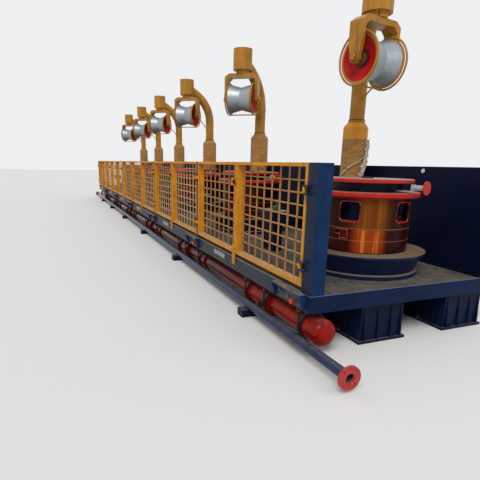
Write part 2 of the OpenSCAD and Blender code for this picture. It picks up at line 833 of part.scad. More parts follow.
module pulley(i) {
    half = pulley_w / 2;
    color("silver")
    at_axle(i) rotate([0, 90, 0]) rotate_extrude($fn = 96) polygon([
        [axle_r + fit, -half + 60], [waist_r - 40, -half + 50], [rim_r - 22, -half], [rim_r, -half],
        [rim_r, -half + rim_t], [rim_r - 12, -half + rim_t], [waist_r, -6], [waist_r, 6],
        [rim_r - 12, half - rim_t], [rim_r, half - rim_t], [rim_r, half], [rim_r - 22, half],
        [waist_r - 40, half - 50], [axle_r + fit, half - 60]]);
}

module die_boxes() {
    color(blue)
    for (i = [1:blocks]) {
        at_bay(i) translate([-drum_x - die_far, drum_y - drum_r - die_out, 0]) {
            translate([die_over, die_over, 0]) cube([die_l - 2 * die_over, die_d - 2 * die_over, die_stand_h]);
            translate([0, 0, die_stand_h]) cube([die_l, die_d, die_h]);
        }
    }
}

deck_plate();
front_beam();
rear_beam();
end_beams();
cross_members();
front_pedestals();
rear_pedestals();
front_feet();
corner_posts();
fence_posts();
control_boxes();
control_buttons();
cooling_header();
header_clamps();
water_pipe();
water_flanges();
block_bases();
rear_housings();
column_casings();
swan_necks();
sleeves();
yokes();
guard_rings();
die_boxes();
for (i = [1:blocks]) {
    door_right(i);
    door_left(i);
    drum(i);
    takeoff_ring(i);
    pulley(i);
}
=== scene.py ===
# %% [markdown]
# # A wire drawing machine, dressed for its portrait
#
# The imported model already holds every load-bearing shape: the long bed, six upright drums,
# the mesh fence and the swan-neck columns with their overhead pulleys. This lesson gives
# each of those shapes its finish and adds the small pieces that come last: window lips,
# nuts, knobs, buttons, clamp bolts, stout guard hoops and two torn scraps of packing film.
#
# We work in metres, in the model's own frame, so nothing has to be fitted. New pieces are
# surfaces worked out with numpy, because a formula is short, exact and easy to change.

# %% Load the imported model
import math
import bmesh
import bpy
import numpy as np
from mathutils import Matrix, Vector


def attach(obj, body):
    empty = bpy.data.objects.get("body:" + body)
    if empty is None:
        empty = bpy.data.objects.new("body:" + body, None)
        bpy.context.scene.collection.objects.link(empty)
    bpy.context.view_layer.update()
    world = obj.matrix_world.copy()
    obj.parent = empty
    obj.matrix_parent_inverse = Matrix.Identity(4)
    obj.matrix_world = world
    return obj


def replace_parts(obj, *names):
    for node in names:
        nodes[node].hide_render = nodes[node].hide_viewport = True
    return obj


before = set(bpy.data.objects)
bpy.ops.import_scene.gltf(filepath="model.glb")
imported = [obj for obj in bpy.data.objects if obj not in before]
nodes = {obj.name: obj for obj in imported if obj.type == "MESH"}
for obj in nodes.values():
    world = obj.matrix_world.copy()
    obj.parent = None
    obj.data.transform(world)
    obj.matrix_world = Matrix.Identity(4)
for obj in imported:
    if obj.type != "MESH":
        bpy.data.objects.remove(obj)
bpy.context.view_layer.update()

# %% [markdown]
# ## The machine's own measure
#
# Every block repeats each 2.8 m along the bed. A helper turns millimetres counted from a
# block's start (back along the machine, into it, up from the deck) into the model's metres,
# so one description of a piece serves all six blocks.

# %% The places of the blocks
BLOCKS = 6
BAY = 2.8
DECK = 0.52
X_END = 8.589
Y_FRONT = -1.01
drum_axis = (-746.0, 1064.0)
DRUM_UP = 232.0
column_axis = (-1876.0, 1736.0)
AXLE_UP = 2090.0
arm_turns = [-29, -61, -90, -90, -90, -90]
axle_turns = [100, 50, 48, 48, 48, 48]
neck_reaches = [740.0] + [556.0] * 5


def spot(block, x, y, z):
    """Metres in the model's frame for a point given in millimetres from a block's start."""
    return np.array([X_END - (block - 1) * BAY + x / 1000, Y_FRONT + y / 1000, DECK + z / 1000])


def axle_of(block):
    """The middle of a block's overhead axle, and the direction in which the axle lies."""
    arm = math.radians(arm_turns[block - 1])
    turn = math.radians(axle_turns[block - 1])
    reach = neck_reaches[block - 1]
    x = column_axis[0] + reach * math.cos(arm)
    y = column_axis[1] + reach * math.sin(arm)
    return spot(block, x, y, AXLE_UP), np.array([math.cos(turn), math.sin(turn), 0.0])


print("first drum stands at", spot(1, *drum_axis, 0).round(3))
print("first axle lies at", axle_of(1)[0].round(3))

# %% [markdown]
# ## The camera
#
# The photograph looks along the fence from in front of the machine's near corner, a little
# above eye level. The camera's place and turn come from fitting known right angles of the
# bed and fence to the picture. Its optical axis lies below the middle of the frame, which a
# lens shift gives without bending any upright lines. The focal length and the drop of the
# axis are in the photograph's own pixels.

# %% Set up the camera
CAMERA_AT = (11.327, -2.812, 1.525)
YAW_PITCH_ROLL = (23.37, 14.9, 1.39)
PICTURE = 480
FOCAL = 423.9
AXIS_DROP = 37.8
SENSOR = 36


def put(name, data):
    """A new object in the scene, at the origin."""
    made = bpy.data.objects.new(name, data)
    bpy.context.scene.collection.objects.link(made)
    return made


yaw, pitch, roll = (math.radians(a) for a in YAW_PITCH_ROLL)
ahead = np.array([-math.cos(yaw) * math.cos(pitch), math.sin(yaw) * math.cos(pitch), -math.sin(pitch)])
level_right = np.array([math.sin(yaw), math.cos(yaw), 0.0])
level_up = np.cross(level_right, ahead)
cam_right = math.cos(roll) * level_right + math.sin(roll) * level_up
cam_up = -math.sin(roll) * level_right + math.cos(roll) * level_up
camera = put("photo_view", bpy.data.cameras.new("photo_view"))
turn = Matrix([list(cam_right), list(cam_up), list(-ahead)]).transposed()
camera.matrix_world = Matrix.Translation(CAMERA_AT) @ turn.to_4x4()
camera.data.sensor_width = SENSOR
camera.data.lens = FOCAL * SENSOR / PICTURE
camera.data.shift_x = 0.001
camera.data.shift_y = AXIS_DROP / PICTURE
bpy.context.scene.camera = camera
print("lens", round(camera.data.lens, 2), "mm")

# %% [markdown]
# ## A small kit for finishes
#
# Paint on a working machine is never one colour. It is mottled, a little dusty on top, and
# streaked where water and oil ran. We build that from noise in the piece's own coordinates.
# Colours are given as a screen shows them, and have to be made linear for the shader first.


# %% Screen colours
def srgb(r, g, b):
    """Screen colour 0..255 as the linear colour that shaders use."""
    c = np.array([r, g, b]) / 255
    return [*np.where(c <= 0.04045, c / 12.92, ((c + 0.055) / 1.055) ** 2.4), 1.0]


print("middle grey is", round(float(srgb(128, 128, 128)[0]), 3), "when linear")

# %% [markdown]
# A small class keeps each recipe short: a method adds one node, or a few that belong together,
# and hands back its output, so a finish reads like a list of steps.


# %% The finish builder
class Finish:
    """A material under construction."""

    def __init__(self, name, gloss=0.5, metal=0.0, shine=0.25):
        """Starts from the plain shader, with its roughness, metal and shine set on it."""
        self.material = bpy.data.materials.new(name)
        self.material.use_nodes = True
        self.tree = self.material.node_tree
        self.shader = self.tree.nodes["Principled BSDF"]
        self.shader.inputs["Roughness"].default_value = gloss
        self.shader.inputs["Metallic"].default_value = metal
        self.shader.inputs["Specular IOR Level"].default_value = shine
        self.place = self.tree.nodes.new("ShaderNodeTexCoord")
        self.where = self.place.outputs["Object"]

    def node(self, kind, *values, out=0, **settings):
        """Adds a node, sets or links its inputs in order, and returns one output."""
        made = self.tree.nodes.new("ShaderNode" + kind)
        for key, value in settings.items():
            setattr(made, key, value)
        for socket, value in zip(made.inputs, values):
            self.feed(socket, value)
        return made.outputs[out]

    def feed(self, socket, value):
        """Links another node's output, or sets a plain value, or leaves the socket alone."""
        if isinstance(value, bpy.types.NodeSocket):
            self.tree.links.new(value, socket)
        elif value is not None:
            socket.default_value = value

    def sum(self, kind, a, b=0.0, c=0.0):
        """One step of arithmetic, with no clamp."""
        return self.node("Math", a, b, c, operation=kind)

    def stretch(self, scale, source=None):
        """The coordinates stretched per axis, which draws noise out into streaks."""
        return self.node("Mapping", source or self.where, None, None, scale)

    def noise(self, scale, detail=4.0, source=None, rough=0.6):
        """Soft noise from 0 to 1 with `scale` lumps a metre."""
        made = self.tree.nodes.new("ShaderNodeTexNoise")
        self.feed(made.inputs["Vector"], source or self.where)
        made.inputs["Scale"].default_value = scale
        made.inputs["Detail"].default_value = detail
        made.inputs["Roughness"].default_value = rough
        return made.outputs["Fac"]

    def ramp(self, value, low, high):
        """0 below `low`, 1 above `high`, smooth between them."""
        made = self.tree.nodes.new("ShaderNodeMapRange")
        made.interpolation_type = "SMOOTHSTEP"
        for key, v in (("Value", value), ("From Min", low), ("From Max", high)):
            self.feed(made.inputs[key], v)
        return made.outputs["Result"]

    def blend(self, mask, a, b):
        """Colour a where the mask is 0 and b where it is 1."""
        made = self.tree.nodes.new("ShaderNodeMix")
        made.data_type = "RGBA"
        for socket, v in zip((made.inputs[0], made.inputs[6], made.inputs[7]), (mask, a, b)):
            self.feed(socket, v)
        return made.outputs[2]

    def axis(self, index, source=None):
        """One coordinate, or one part of a direction."""
        return self.node("SeparateXYZ", source or self.where, out=index)

    def above(self, value, edge, soft=0.001):
        """0 below the edge and 1 above it."""
        return self.ramp(value, edge - soft, edge + soft)

    def below(self, value, edge, soft=0.001):
        """1 below the edge and 0 above it."""
        return self.above(self.sum("MULTIPLY", value, -1.0), -edge, soft)

    def band(self, value, low, high, soft=0.0005):
        """1 between `low` and `high`, 0 outside."""
        return self.sum("MULTIPLY", self.above(value, low, soft), self.below(value, high, soft))

    def upward(self, low=0.6, high=0.95):
        """1 on faces that look up, where dust settles."""
        return self.ramp(self.axis(2, self.place.outputs["Normal"]), low, high)

    def bump(self, height, depth, strength=0.5, under=None):
        """Turns a height from 0 to 1 into relief `depth` metres deep."""
        made = self.tree.nodes.new("ShaderNodeBump")
        made.inputs["Strength"].default_value = strength
        made.inputs["Distance"].default_value = depth
        self.feed(made.inputs["Height"], height)
        if under is not None:
            self.feed(made.inputs["Normal"], under)
        return made.outputs["Normal"]

    def done(self, colour, rough=None, normal=None):
        """Feeds colour, roughness and relief to the shader and hands the material back."""
        for key, value in (("Base Color", colour), ("Roughness", rough), ("Normal", normal)):
            self.feed(self.shader.inputs[key], value)
        print("mixed", self.material.name, "from", len(self.tree.nodes), "nodes")
        return self.material


# %% [markdown]
# ## Painted steel, with dust and grime
#
# One recipe serves every painted part: a mottled base, darker streaks that run downwards,
# pale dust on what faces up, and a faint orange-peel relief. The amounts differ from part
# to part, so they are its arguments.

# %% The paint recipe
DUST = srgb(150, 140, 122)
GRIME = srgb(38, 32, 28)
BLACK = srgb(0, 0, 0)


def mottled(f, colour, shade=0.75, grime=0.35, patch=5.0):
    """The base colour, a darker cast of it in soft patches, and thin streaks of grime."""
    dark = f.blend(1 - shade, colour, BLACK)
    body = f.blend(f.ramp(f.noise(patch), 0.35, 0.7), colour, dark)
    streak = f.noise(6.0, 5.0, f.stretch((3.0, 3.0, 0.35)))
    return f.blend(f.sum("MULTIPLY", f.ramp(streak, 0.52, 0.78), grime), body, GRIME)


def dusted(f, colour, amount, pale=DUST, patch=9.0):
    """Dust on upward faces, thicker and thinner in patches."""
    cover = f.sum("MULTIPLY", f.upward(), f.ramp(f.noise(patch, 6.0), 0.25, 0.62))
    return f.blend(f.sum("MULTIPLY", cover, amount), colour, pale)


def peel(f, size=260.0, depth=0.0004):
    """The faint relief of brushed or sprayed paint."""
    return f.bump(f.noise(size, 2.0), depth, 0.35)


def paint(name, colour, gloss=0.42, shade=0.75, grime=0.35, dust=0.7, patch=5.0, shine=0.2):
    """Painted steel in one colour, with mottling, streaks and dust on top."""
    f = Finish(name, gloss, 0.0, shine)
    rough = f.sum("ADD", f.sum("MULTIPLY", f.noise(14.0, 3.0), 0.24), gloss - 0.12)
    return f.done(dusted(f, mottled(f, colour, shade, grime, patch), dust), rough, peel(f))


print("paint recipe ready")

# %% [markdown]
# The plain paints differ in colour and in how rough, patchy, streaked and dusty they are.
# Dark paints get little shine, because bright surroundings turn a dark gloss milky.

# %% The plain paints
column_paint = paint("column yellow paint", srgb(176, 120, 38), gloss=0.34, shade=0.74, grime=0.45,
                     dust=0.45, patch=4.0, shine=0.25)
navy_paint = paint("navy machine paint", srgb(12, 23, 52), shade=0.65, dust=0.3, shine=0.1)
wall_paint = paint("rear wall navy paint", srgb(10, 19, 46), gloss=0.4, shade=0.65, grime=0.2,
                   dust=0.25, patch=3.0, shine=0.08)
grey_paint = paint("slate edge paint", srgb(48, 54, 64), gloss=0.46, grime=0.45, dust=0.5, shine=0.1)
lip_paint = paint("red lip paint", srgb(178, 40, 36), gloss=0.34, shade=0.8, grime=0.15, dust=0.3, shine=0.5)
flange_paint = paint("faded red flange paint", srgb(180, 62, 58), gloss=0.5, shade=0.72,
                     dust=0.3, patch=30.0)
pipe_paint = paint("steel blue pipe paint", srgb(40, 52, 80), gloss=0.26, shade=0.7, grime=0.4,
                   dust=0.2, shine=0.15)
clamp_paint = paint("black clamp paint", srgb(26, 28, 34), gloss=0.45, shade=0.7, grime=0.3, dust=0.5)

# %% [markdown]
# Two paints change over the machine. The corner posts carry painted shade, darker and greyer
# on the faces towards the aisle, so their colour follows the way a face looks. The header pipe
# darkens along its length with painted shade, so its colour follows the place along the machine.


# %% The corner posts and the header pipe
def post_finish():
    """Blue corner posts, darker and greyer on the side towards the aisle, which is painted shade."""
    f = Finish("blue post paint", 0.36, 0.0, 0.1)
    # Faces towards the aisle take the darker, greyer blue: painted shade.
    aisle = f.ramp(f.axis(1, f.place.outputs["Normal"]), -0.5, -0.9)
    blue = mottled(f, srgb(16, 45, 86), 0.66, 0.35)
    painted_shade_blue = mottled(f, srgb(18, 34, 58), 0.7, 0.4)
    return f.done(dusted(f, f.blend(aisle, blue, painted_shade_blue), 0.3), None, peel(f))


def header_finish():
    """Red header pipe, bright at the near end and darker further along, where painted shade lies on it."""
    f = Finish("red pipe paint", 0.24, 0.0, 0.12)
    # Beyond the near end the pipe turns a darker red: painted shade.
    near = f.ramp(f.axis(0), X_END - 2.2, X_END - 0.6)
    red = mottled(f, srgb(152, 22, 12), 0.5, 0.6, 4.0)
    painted_shade_maroon = mottled(f, srgb(96, 16, 12), 0.5, 0.7, 4.0)
    rough = f.sum("ADD", f.sum("MULTIPLY", f.noise(14.0, 3.0), 0.2), 0.1)
    return f.done(dusted(f, f.blend(near, painted_shade_maroon, red), 0.2), rough, peel(f))


post_paint = post_finish()
red_paint = header_finish()

# %% [markdown]
# ## Finishes that follow one shape
#
# A finish that follows a drum has to know where the drum stands. The place along the machine
# is wrapped to half a bay either side of a drum, so one finish measures all six drums from
# their own axes. Other finishes measure from a block's start in the same way.


# %% Measuring from a block
def around(f):
    """Direction and distance from each block's own upright axis, in plan."""
    centre = spot(1, *drum_axis, 0)
    along = f.sum("WRAP", f.sum("SUBTRACT", f.axis(0), centre[0]), BAY / 2, -BAY / 2)
    across = f.sum("SUBTRACT", f.axis(1), centre[1])
    flat = f.node("CombineXYZ", along, across, 0.0)
    return flat, f.node("VectorMath", flat, out=1, operation="LENGTH")


def from_start(f):
    """Distance back from the nearest block start, in metres and counted below nought."""
    return f.sum("WRAP", f.sum("SUBTRACT", f.axis(0), X_END), 0.0, -BAY)


print("finishes repeat every", BAY, "m")

# %% [markdown]
# The drum is varnished copper colour up to its red flange, with two pale lines where the
# drawing bands meet. Its colour carries painted highlights in uneven upright bands, with painted
# shade at their sides, brightest on the lower bands and on the first drum; the other drums get
# less painted highlight. A cosine of the angle round the drum places the bands, and noise that
# changes fast round the drum but slowly up it breaks them into streaks.

# %% The drums
drum_foot = DECK + DRUM_UP / 1000
flange_low = drum_foot + 0.500
BAND_MEETS = 0.110
WALL_STEP = 0.220
WALL_INSIDE = 0.425
# The turn of the first painted highlight band round the drum, in degrees, and the number of such bands.
HIGHLIGHT_TURN = 32.0
HIGHLIGHT_BANDS = 4.0


def drum_finish():
    """Brown varnish over copper with painted highlights and painted shade in bands, a red flange, and
    painted shade inside.
    """
    f = Finish("varnished copper drum", 0.28, 0.25, 0.08)
    height = f.axis(2)
    flat, out = around(f)
    facing = f.node("VectorMath", flat, operation="NORMALIZE")
    level = f.node("CombineXYZ", 0.0, 0.0, f.sum("MULTIPLY", height, 0.12))
    upright = f.node("VectorMath", facing, level, operation="ADD")
    turn = f.sum("ARCTAN2", f.axis(1, facing), f.axis(0, facing))
    # Painted highlight: a cosine of the angle round the drum sets bright bands, with painted shade between
    # them.
    painted_highlight = f.sum("COSINE", f.sum("MULTIPLY", f.sum("ADD", turn, math.radians(HIGHLIGHT_TURN)), HIGHLIGHT_BANDS))
    painted_highlight = f.sum("ADD", f.sum("MULTIPLY", painted_highlight, 0.5), 0.5)
    # The first drum keeps the full painted highlight; the other drums are left darker, as painted shade.
    first = f.ramp(f.axis(0), X_END - BAY, X_END - BAY + 0.4)
    painted_highlight = f.sum("MULTIPLY", painted_highlight, f.sum("ADD", 0.42, f.sum("MULTIPLY", first, 0.58)))
    broad = f.noise(2.4, 2.0, upright)
    narrow = f.noise(7.0, 4.0, upright, 0.65)
    rings = f.noise(1.0, 4.0, f.stretch((4.0, 4.0, 900.0)))
    # The brown and red tones below are lighter where the painted highlight falls and darker at its sides, as
    # painted shade; the gold and the glow are narrow painted highlights.
    brown = f.blend(f.ramp(painted_highlight, 0.2, 0.95), srgb(46, 18, 8), srgb(112, 56, 14))
    painted_gold_highlight = f.sum("MULTIPLY", f.ramp(narrow, 0.46, 0.68), f.ramp(painted_highlight, 0.3, 0.95))
    upper = f.blend(f.sum("MULTIPLY", painted_gold_highlight, 0.55), brown, srgb(168, 98, 30))
    upper = f.blend(f.sum("MULTIPLY", f.ramp(broad, 0.5, 0.7), 0.45), upper, srgb(64, 26, 10))
    lower = f.blend(f.ramp(painted_highlight, 0.4, 0.85), srgb(48, 10, 8), srgb(146, 58, 14))
    painted_glow = f.sum("MULTIPLY", f.ramp(narrow, 0.48, 0.66), f.ramp(painted_highlight, 0.6, 0.98))
    lower = f.blend(painted_glow, lower, srgb(232, 122, 42))
    lower = f.blend(f.sum("MULTIPLY", f.ramp(broad, 0.5, 0.7), 0.3), lower, srgb(96, 36, 14))
    tone = f.blend(f.band(height, drum_foot - 0.01, drum_foot + WALL_STEP + 0.001), upper, lower)
    tone = f.blend(f.sum("MULTIPLY", f.ramp(rings, 0.5, 0.75), 0.25), tone, srgb(70, 28, 10))
    band_lines = f.sum("ADD", f.band(height, drum_foot + WALL_STEP, drum_foot + WALL_STEP + 0.0065),
                       f.band(height, drum_foot + BAND_MEETS, drum_foot + BAND_MEETS + 0.0035))
    tone = f.blend(f.sum("MULTIPLY", band_lines, 0.45), tone, srgb(176, 132, 96))
    # Inside its wall the drum is painted near black, as painted shade.
    tone = f.blend(f.ramp(out, WALL_INSIDE - 0.002, WALL_INSIDE), srgb(14, 14, 24), tone)
    red = f.above(height, flange_low)
    red_tone = dusted(f, mottled(f, srgb(182, 44, 38), 0.8, 0.2), 0.8)
    colour = f.blend(red, tone, red_tone)
    f.feed(f.shader.inputs["Metallic"], f.sum("MULTIPLY", f.sum("SUBTRACT", 1.0, red), 0.15))
    rough = f.sum("ADD", f.sum("MULTIPLY", f.noise(20.0), 0.16), f.sum("MULTIPLY", red, 0.2))
    rough = f.sum("ADD", rough, 0.20)
    return f.done(colour, rough, f.bump(rings, 0.0006, 0.4))


drum_paint = drum_finish()

# %% [markdown]
# The take-off ring wears three finishes: a dusty top, a red rim and a navy hub below it. Its
# guide roller is bare steel with a red end disc. Distance from the drum's axis separates the
# roller from the hub.

# %% The take-off rings
ring_low = drum_foot + 0.513 + 0.045 + 0.084
HUB_R = 0.345
RING_R = 0.445
DISC_FROM = 0.627


def ring_finish():
    """Red rim, worn pale top, navy hub, and bare steel roller with a red end disc."""
    f = Finish("take-off ring paint", 0.4, 0.0, 0.15)
    out = around(f)[1]
    high = f.above(f.axis(2), ring_low)
    red = mottled(f, srgb(186, 46, 38), 0.8, 0.2)
    navy = mottled(f, srgb(7, 15, 44), 0.7, 0.1)
    steel = mottled(f, srgb(168, 168, 166), 0.8, 0.3)
    outer = f.blend(f.above(out, DISC_FROM), steel, red)
    lower = f.blend(f.above(out, HUB_R), navy, outer)
    on_ring = f.sum("MULTIPLY", high, f.below(out, RING_R))
    colour = f.blend(on_ring, lower, red)
    top = f.sum("MULTIPLY", on_ring, f.upward(0.5, 0.9))
    worn = f.blend(f.ramp(f.noise(7.0, 6.0), 0.3, 0.7), srgb(164, 154, 146), srgb(128, 116, 108))
    worn = f.blend(f.ramp(f.noise(26.0, 5.0), 0.6, 0.72), worn, srgb(176, 84, 74))
    inner = f.below(out, RING_R - 0.0175, 0.0025)
    return f.done(f.blend(f.sum("MULTIPLY", top, inner), dusted(f, colour, 0.5), worn), None, peel(f))


ring_paint = ring_finish()

# %% [markdown]
# The bases are navy with sandy dust on every ledge, and the deck is a dark plate under a fuzz
# of trodden dust. Fine noise makes the fuzz, and coarse noise rubs it away in patches.


# %% The bases and the deck
def base_finish():
    """Navy skirt and base ring, with sandy dust lying on every ledge."""
    f = Finish("dusty navy base", 0.5, 0.0, 0.1)
    navy = mottled(f, srgb(20, 30, 62), 0.7, 0.35)
    grain = f.blend(f.ramp(f.noise(60.0, 6.0), 0.35, 0.7), srgb(134, 112, 90), srgb(92, 76, 62))
    dust = f.blend(f.ramp(f.noise(4.0, 5.0), 0.4, 0.6), grain, srgb(124, 106, 86))
    edge = f.band(f.axis(2), DECK + 0.036, DECK + 0.0455)
    navy = f.blend(f.sum("MULTIPLY", edge, 0.6), navy, srgb(140, 138, 132))
    cover = f.sum("MULTIPLY", f.upward(0.5, 0.9), f.ramp(f.noise(11.0, 5.0), 0.1, 0.3))
    return f.done(f.blend(cover, navy, dust), f.sum("ADD", 0.4, f.sum("MULTIPLY", cover, 0.4)),
                  f.bump(f.noise(120.0, 5.0), 0.001, 0.5))


base_paint = base_finish()


def deck_finish():
    """Dark plate under a fuzz of trodden dust, with navy rubbed through in patches."""
    f = Finish("trodden deck plate", 0.8, 0.0, 0.1)
    plate = f.blend(f.ramp(f.noise(3.0, 7.0), 0.35, 0.65), srgb(84, 80, 72), srgb(46, 50, 58))
    grit = f.ramp(f.noise(170.0, 5.0), 0.35, 0.75)
    fuzz = f.blend(f.sum("MULTIPLY", grit, 0.55), plate, srgb(132, 122, 104))
    pale = f.ramp(f.noise(10.0, 9.0, f.stretch((1.0, 2.6, 1.0)), 0.8), 0.50, 0.66)
    fuzz = f.blend(f.sum("MULTIPLY", pale, 0.6), fuzz, srgb(146, 138, 124))
    bare = f.ramp(f.noise(5.0, 6.0), 0.60, 0.70)
    return f.done(f.blend(f.sum("MULTIPLY", bare, 0.6), fuzz, srgb(40, 46, 66)), None,
                  f.bump(f.noise(150.0, 6.0), 0.0015, 0.6))


deck_paint = deck_finish()


# %% [markdown]
# The bed's edge is slate grey along the fence, but its end beams wrap round the corner in
# blue for 58 mm. Dark seams part the covers along the edge. The top edges are pale where the
# paint has rubbed through.

# %% The bed's edges
CORNER_WRAP = 0.058
SEAMS = (-2.520, -1.840)
SEAM_HALF = 0.003


def edge_finish():
    """Slate with dark seams and a pale rubbed rim, and blue at both ends of the bed."""
    f = Finish("slate edge with blue corners", 0.46, 0.0, 0.1)
    slate = mottled(f, srgb(56, 58, 66), 0.78, 0.45)
    blue = mottled(f, srgb(16, 34, 72), 0.72, 0.35)
    from_end = f.sum("ABSOLUTE", f.axis(0))
    colour = f.blend(f.ramp(from_end, X_END - CORNER_WRAP - 0.002, X_END - CORNER_WRAP), slate, blue)
    place = from_start(f)
    seams = f.sum("ADD", *[f.band(place, at - SEAM_HALF, at + SEAM_HALF) for at in SEAMS])
    colour = f.blend(seams, colour, srgb(24, 24, 28))
    rim = f.band(f.axis(2), DECK - 0.005, DECK + 0.001)
    colour = f.blend(f.sum("MULTIPLY", rim, 0.5), colour, srgb(150, 150, 152))
    return f.done(dusted(f, colour, 0.7), None, peel(f))


edge_paint = edge_finish()


def end_finish():
    """Blue end beams, scuffed, with a pale line along the rubbed top edge."""
    f = Finish("scuffed blue end beam", 0.38, 0.0, 0.08)
    blue = mottled(f, srgb(14, 31, 66), 0.62, 0.3, 3.0)
    scuff = f.ramp(f.noise(13.0, 8.0, f.stretch((1.0, 0.7, 2.0)), 0.75), 0.63, 0.72)
    blue = f.blend(f.sum("MULTIPLY", scuff, 0.3), blue, srgb(58, 80, 104))
    rim = f.band(f.axis(2), DECK - 0.005, DECK + 0.001)
    return f.done(f.blend(f.sum("MULTIPLY", rim, 0.55), blue, srgb(120, 130, 150)), None, peel(f))


end_paint = end_finish()

# %% [markdown]
# The overhead pulleys are galvanised between yellow rims, with a dished red web inside each
# end. In the pulley's own measure the distance along the axle and out from it tell these
# apart, so the coordinates are moved to the axle and turned in line with it first.


# %% The overhead pulleys
RIM_FROM = 0.217
RIM_SIDE = 0.187
WEB_SIDE = 0.074
WEB_SLOPE = 0.55


def pulley_finish(block):
    """Spangled zinc, a red web where the place along the axle passes a cone, yellow rims."""
    f = Finish(f"galvanised pulley {block}", 0.35, 0.0, 0.15)
    middle, along = axle_of(block)
    moved = f.node("Mapping", f.where, tuple(-middle))
    lengthwise = f.node("VectorMath", moved, tuple(along), out=1, operation="DOT_PRODUCT")
    beside = f.node("VectorMath", moved, (-along[1], along[0], 0.0), out=1, operation="DOT_PRODUCT")
    tall = f.axis(2, moved)
    out = f.sum("SQRT", f.sum("ADD", f.sum("MULTIPLY", beside, beside), f.sum("MULTIPLY", tall, tall)))
    far = f.sum("ABSOLUTE", lengthwise)
    spangle = f.node("TexVoronoi", f.where, None, 70.0, out=1)
    grey = f.node("SeparateColor", spangle)
    zinc = f.blend(f.sum("MULTIPLY", grey, 0.35), srgb(168, 176, 180), srgb(126, 134, 140))
    turned = f.node("CombineXYZ", f.sum("MULTIPLY", lengthwise, 160.0), 0.0, 0.0)
    rub = f.ramp(f.noise(1.0, 4.0, turned), 0.4, 0.7)
    zinc = f.blend(f.sum("MULTIPLY", rub, 0.25), zinc, srgb(116, 118, 120))
    dish = f.blend(f.ramp(out, 0.05, 0.13), srgb(46, 20, 16), srgb(176, 20, 12))
    dish = f.blend(f.ramp(out, 0.030, 0.052), srgb(84, 70, 50), dish)
    yellow = mottled(f, srgb(178, 126, 62), 0.8, 0.3)
    web = f.sum("GREATER_THAN", far, f.sum("ADD", f.sum("MULTIPLY", out, WEB_SLOPE), WEB_SIDE))
    rim = f.sum("MULTIPLY", f.above(out, RIM_FROM, 0.0005), f.above(far, RIM_SIDE, 0.0005))
    colour = f.blend(rim, f.blend(web, zinc, dish), yellow)
    bare = f.sum("MULTIPLY", f.sum("SUBTRACT", 1.0, web), f.sum("SUBTRACT", 1.0, rim))
    f.feed(f.shader.inputs["Metallic"], f.sum("MULTIPLY", bare, 0.6))
    rough = f.sum("ADD", 0.36, f.sum("MULTIPLY", grey, 0.12))
    return f.done(colour, rough, f.bump(rub, 0.0004, 0.3))


pulley_paints = [pulley_finish(b) for b in range(1, BLOCKS + 1)]

# %% [markdown]
# The casings are brown with old packing film, in level streaks, the palest of them painted
# highlights on its folds. The first one shows bare yellow at its shoulder, where the film ends
# in a ragged line.

# %% The casings
FILM_TOP = 1.38


def casing_finish():
    """Streaky brown film up to a ragged line, with yellow paint over it on one column."""
    f = Finish("casing paint", 0.5, 0.0, 0.2)
    edge = f.sum("ADD", f.axis(2), f.sum("MULTIPLY", f.noise(9.0), 0.06))
    top = f.above(edge, DECK + FILM_TOP, 0.005)
    sway = f.sum("MULTIPLY", f.noise(4.0, 3.0), 0.10)
    bent = f.node("CombineXYZ", f.axis(0), f.axis(1), f.sum("ADD", f.axis(2), sway))
    level = f.noise(1.0, 7.0, f.stretch((5.0, 5.0, 46.0), bent), 0.75)
    film = f.blend(f.ramp(level, 0.38, 0.66), srgb(182, 130, 70), srgb(132, 90, 44))
    film = f.blend(f.ramp(f.noise(5.0, 5.0), 0.5, 0.72), film, srgb(168, 128, 78))
    # The palest thin level streaks are painted highlights on the film's folds.
    film = f.blend(f.sum("MULTIPLY", f.ramp(level, 0.62, 0.70), 0.5), film, srgb(196, 170, 132))
    first = f.ramp(f.axis(0), X_END - 3.0, X_END - 2.6)
    yellow = mottled(f, srgb(224, 154, 50), 0.82, 0.3)
    rough = f.sum("ADD", 0.34, f.sum("MULTIPLY", level, 0.25))
    colour = f.blend(f.sum("MULTIPLY", top, first), film, yellow)
    return f.done(dusted(f, colour, 0.5), rough, f.bump(level, 0.004, 0.6))


casing_paint = casing_finish()

# %% [markdown]
# Each control box has a dusty hood over a grey panel between navy cheeks. Its four buttons
# are told apart by their distance from the block's start.

# %% The control boxes
BOX_IN = 0.060
BOX_LONG = 0.490
BOX_PLATE = 0.008
GREEN_FROM = -0.495
RED_FROM = -0.375


def box_finish():
    """Slate panel between navy cheeks, with a dusty hood on top."""
    f = Finish("control box paint", 0.45, 0.0, 0.2)
    place = from_start(f)
    panel = mottled(f, srgb(62, 68, 78), 0.8, 0.4)
    navy = mottled(f, srgb(22, 42, 84), 0.7, 0.3)
    inner = f.band(place, -BOX_IN - BOX_LONG + BOX_PLATE + 0.001, -BOX_IN - BOX_PLATE - 0.001)
    hood = f.ramp(f.axis(2), DECK - BOX_PLATE - 0.001, DECK - BOX_PLATE)
    body = f.blend(inner, navy, panel)
    dust = f.blend(f.ramp(f.noise(24.0, 6.0), 0.35, 0.6), srgb(72, 76, 84), srgb(128, 122, 112))
    return f.done(f.blend(f.sum("MULTIPLY", hood, f.upward()), body, dust), None, peel(f))


def button_finish():
    """Red nearest the block's start, then green, and dark furthest back from it."""
    f = Finish("coloured buttons", 0.35, 0.0, 0.5)
    place = from_start(f)
    dark = f.above(place, GREEN_FROM, 0.005)
    green = f.blend(dark, srgb(24, 34, 30), srgb(28, 76, 56))
    red = f.above(place, RED_FROM, 0.005)
    return f.done(f.blend(red, green, srgb(176, 40, 42)))


box_paint = box_finish()
button_paint = button_finish()

# %% [markdown]
# The leaves are yellow with a tan, dusty mesh. Only the stretches between a leaf's stiles and
# rails are mesh, so three ranges pick it out: along the bay, up the fence and back from the
# leaf's face.

# %% The leaves
OPENINGS = ((-1.551, -0.259), (-2.919, -1.627))
MESH_FRONT = 0.0585
RAILS = (0.0745, 1.0055)


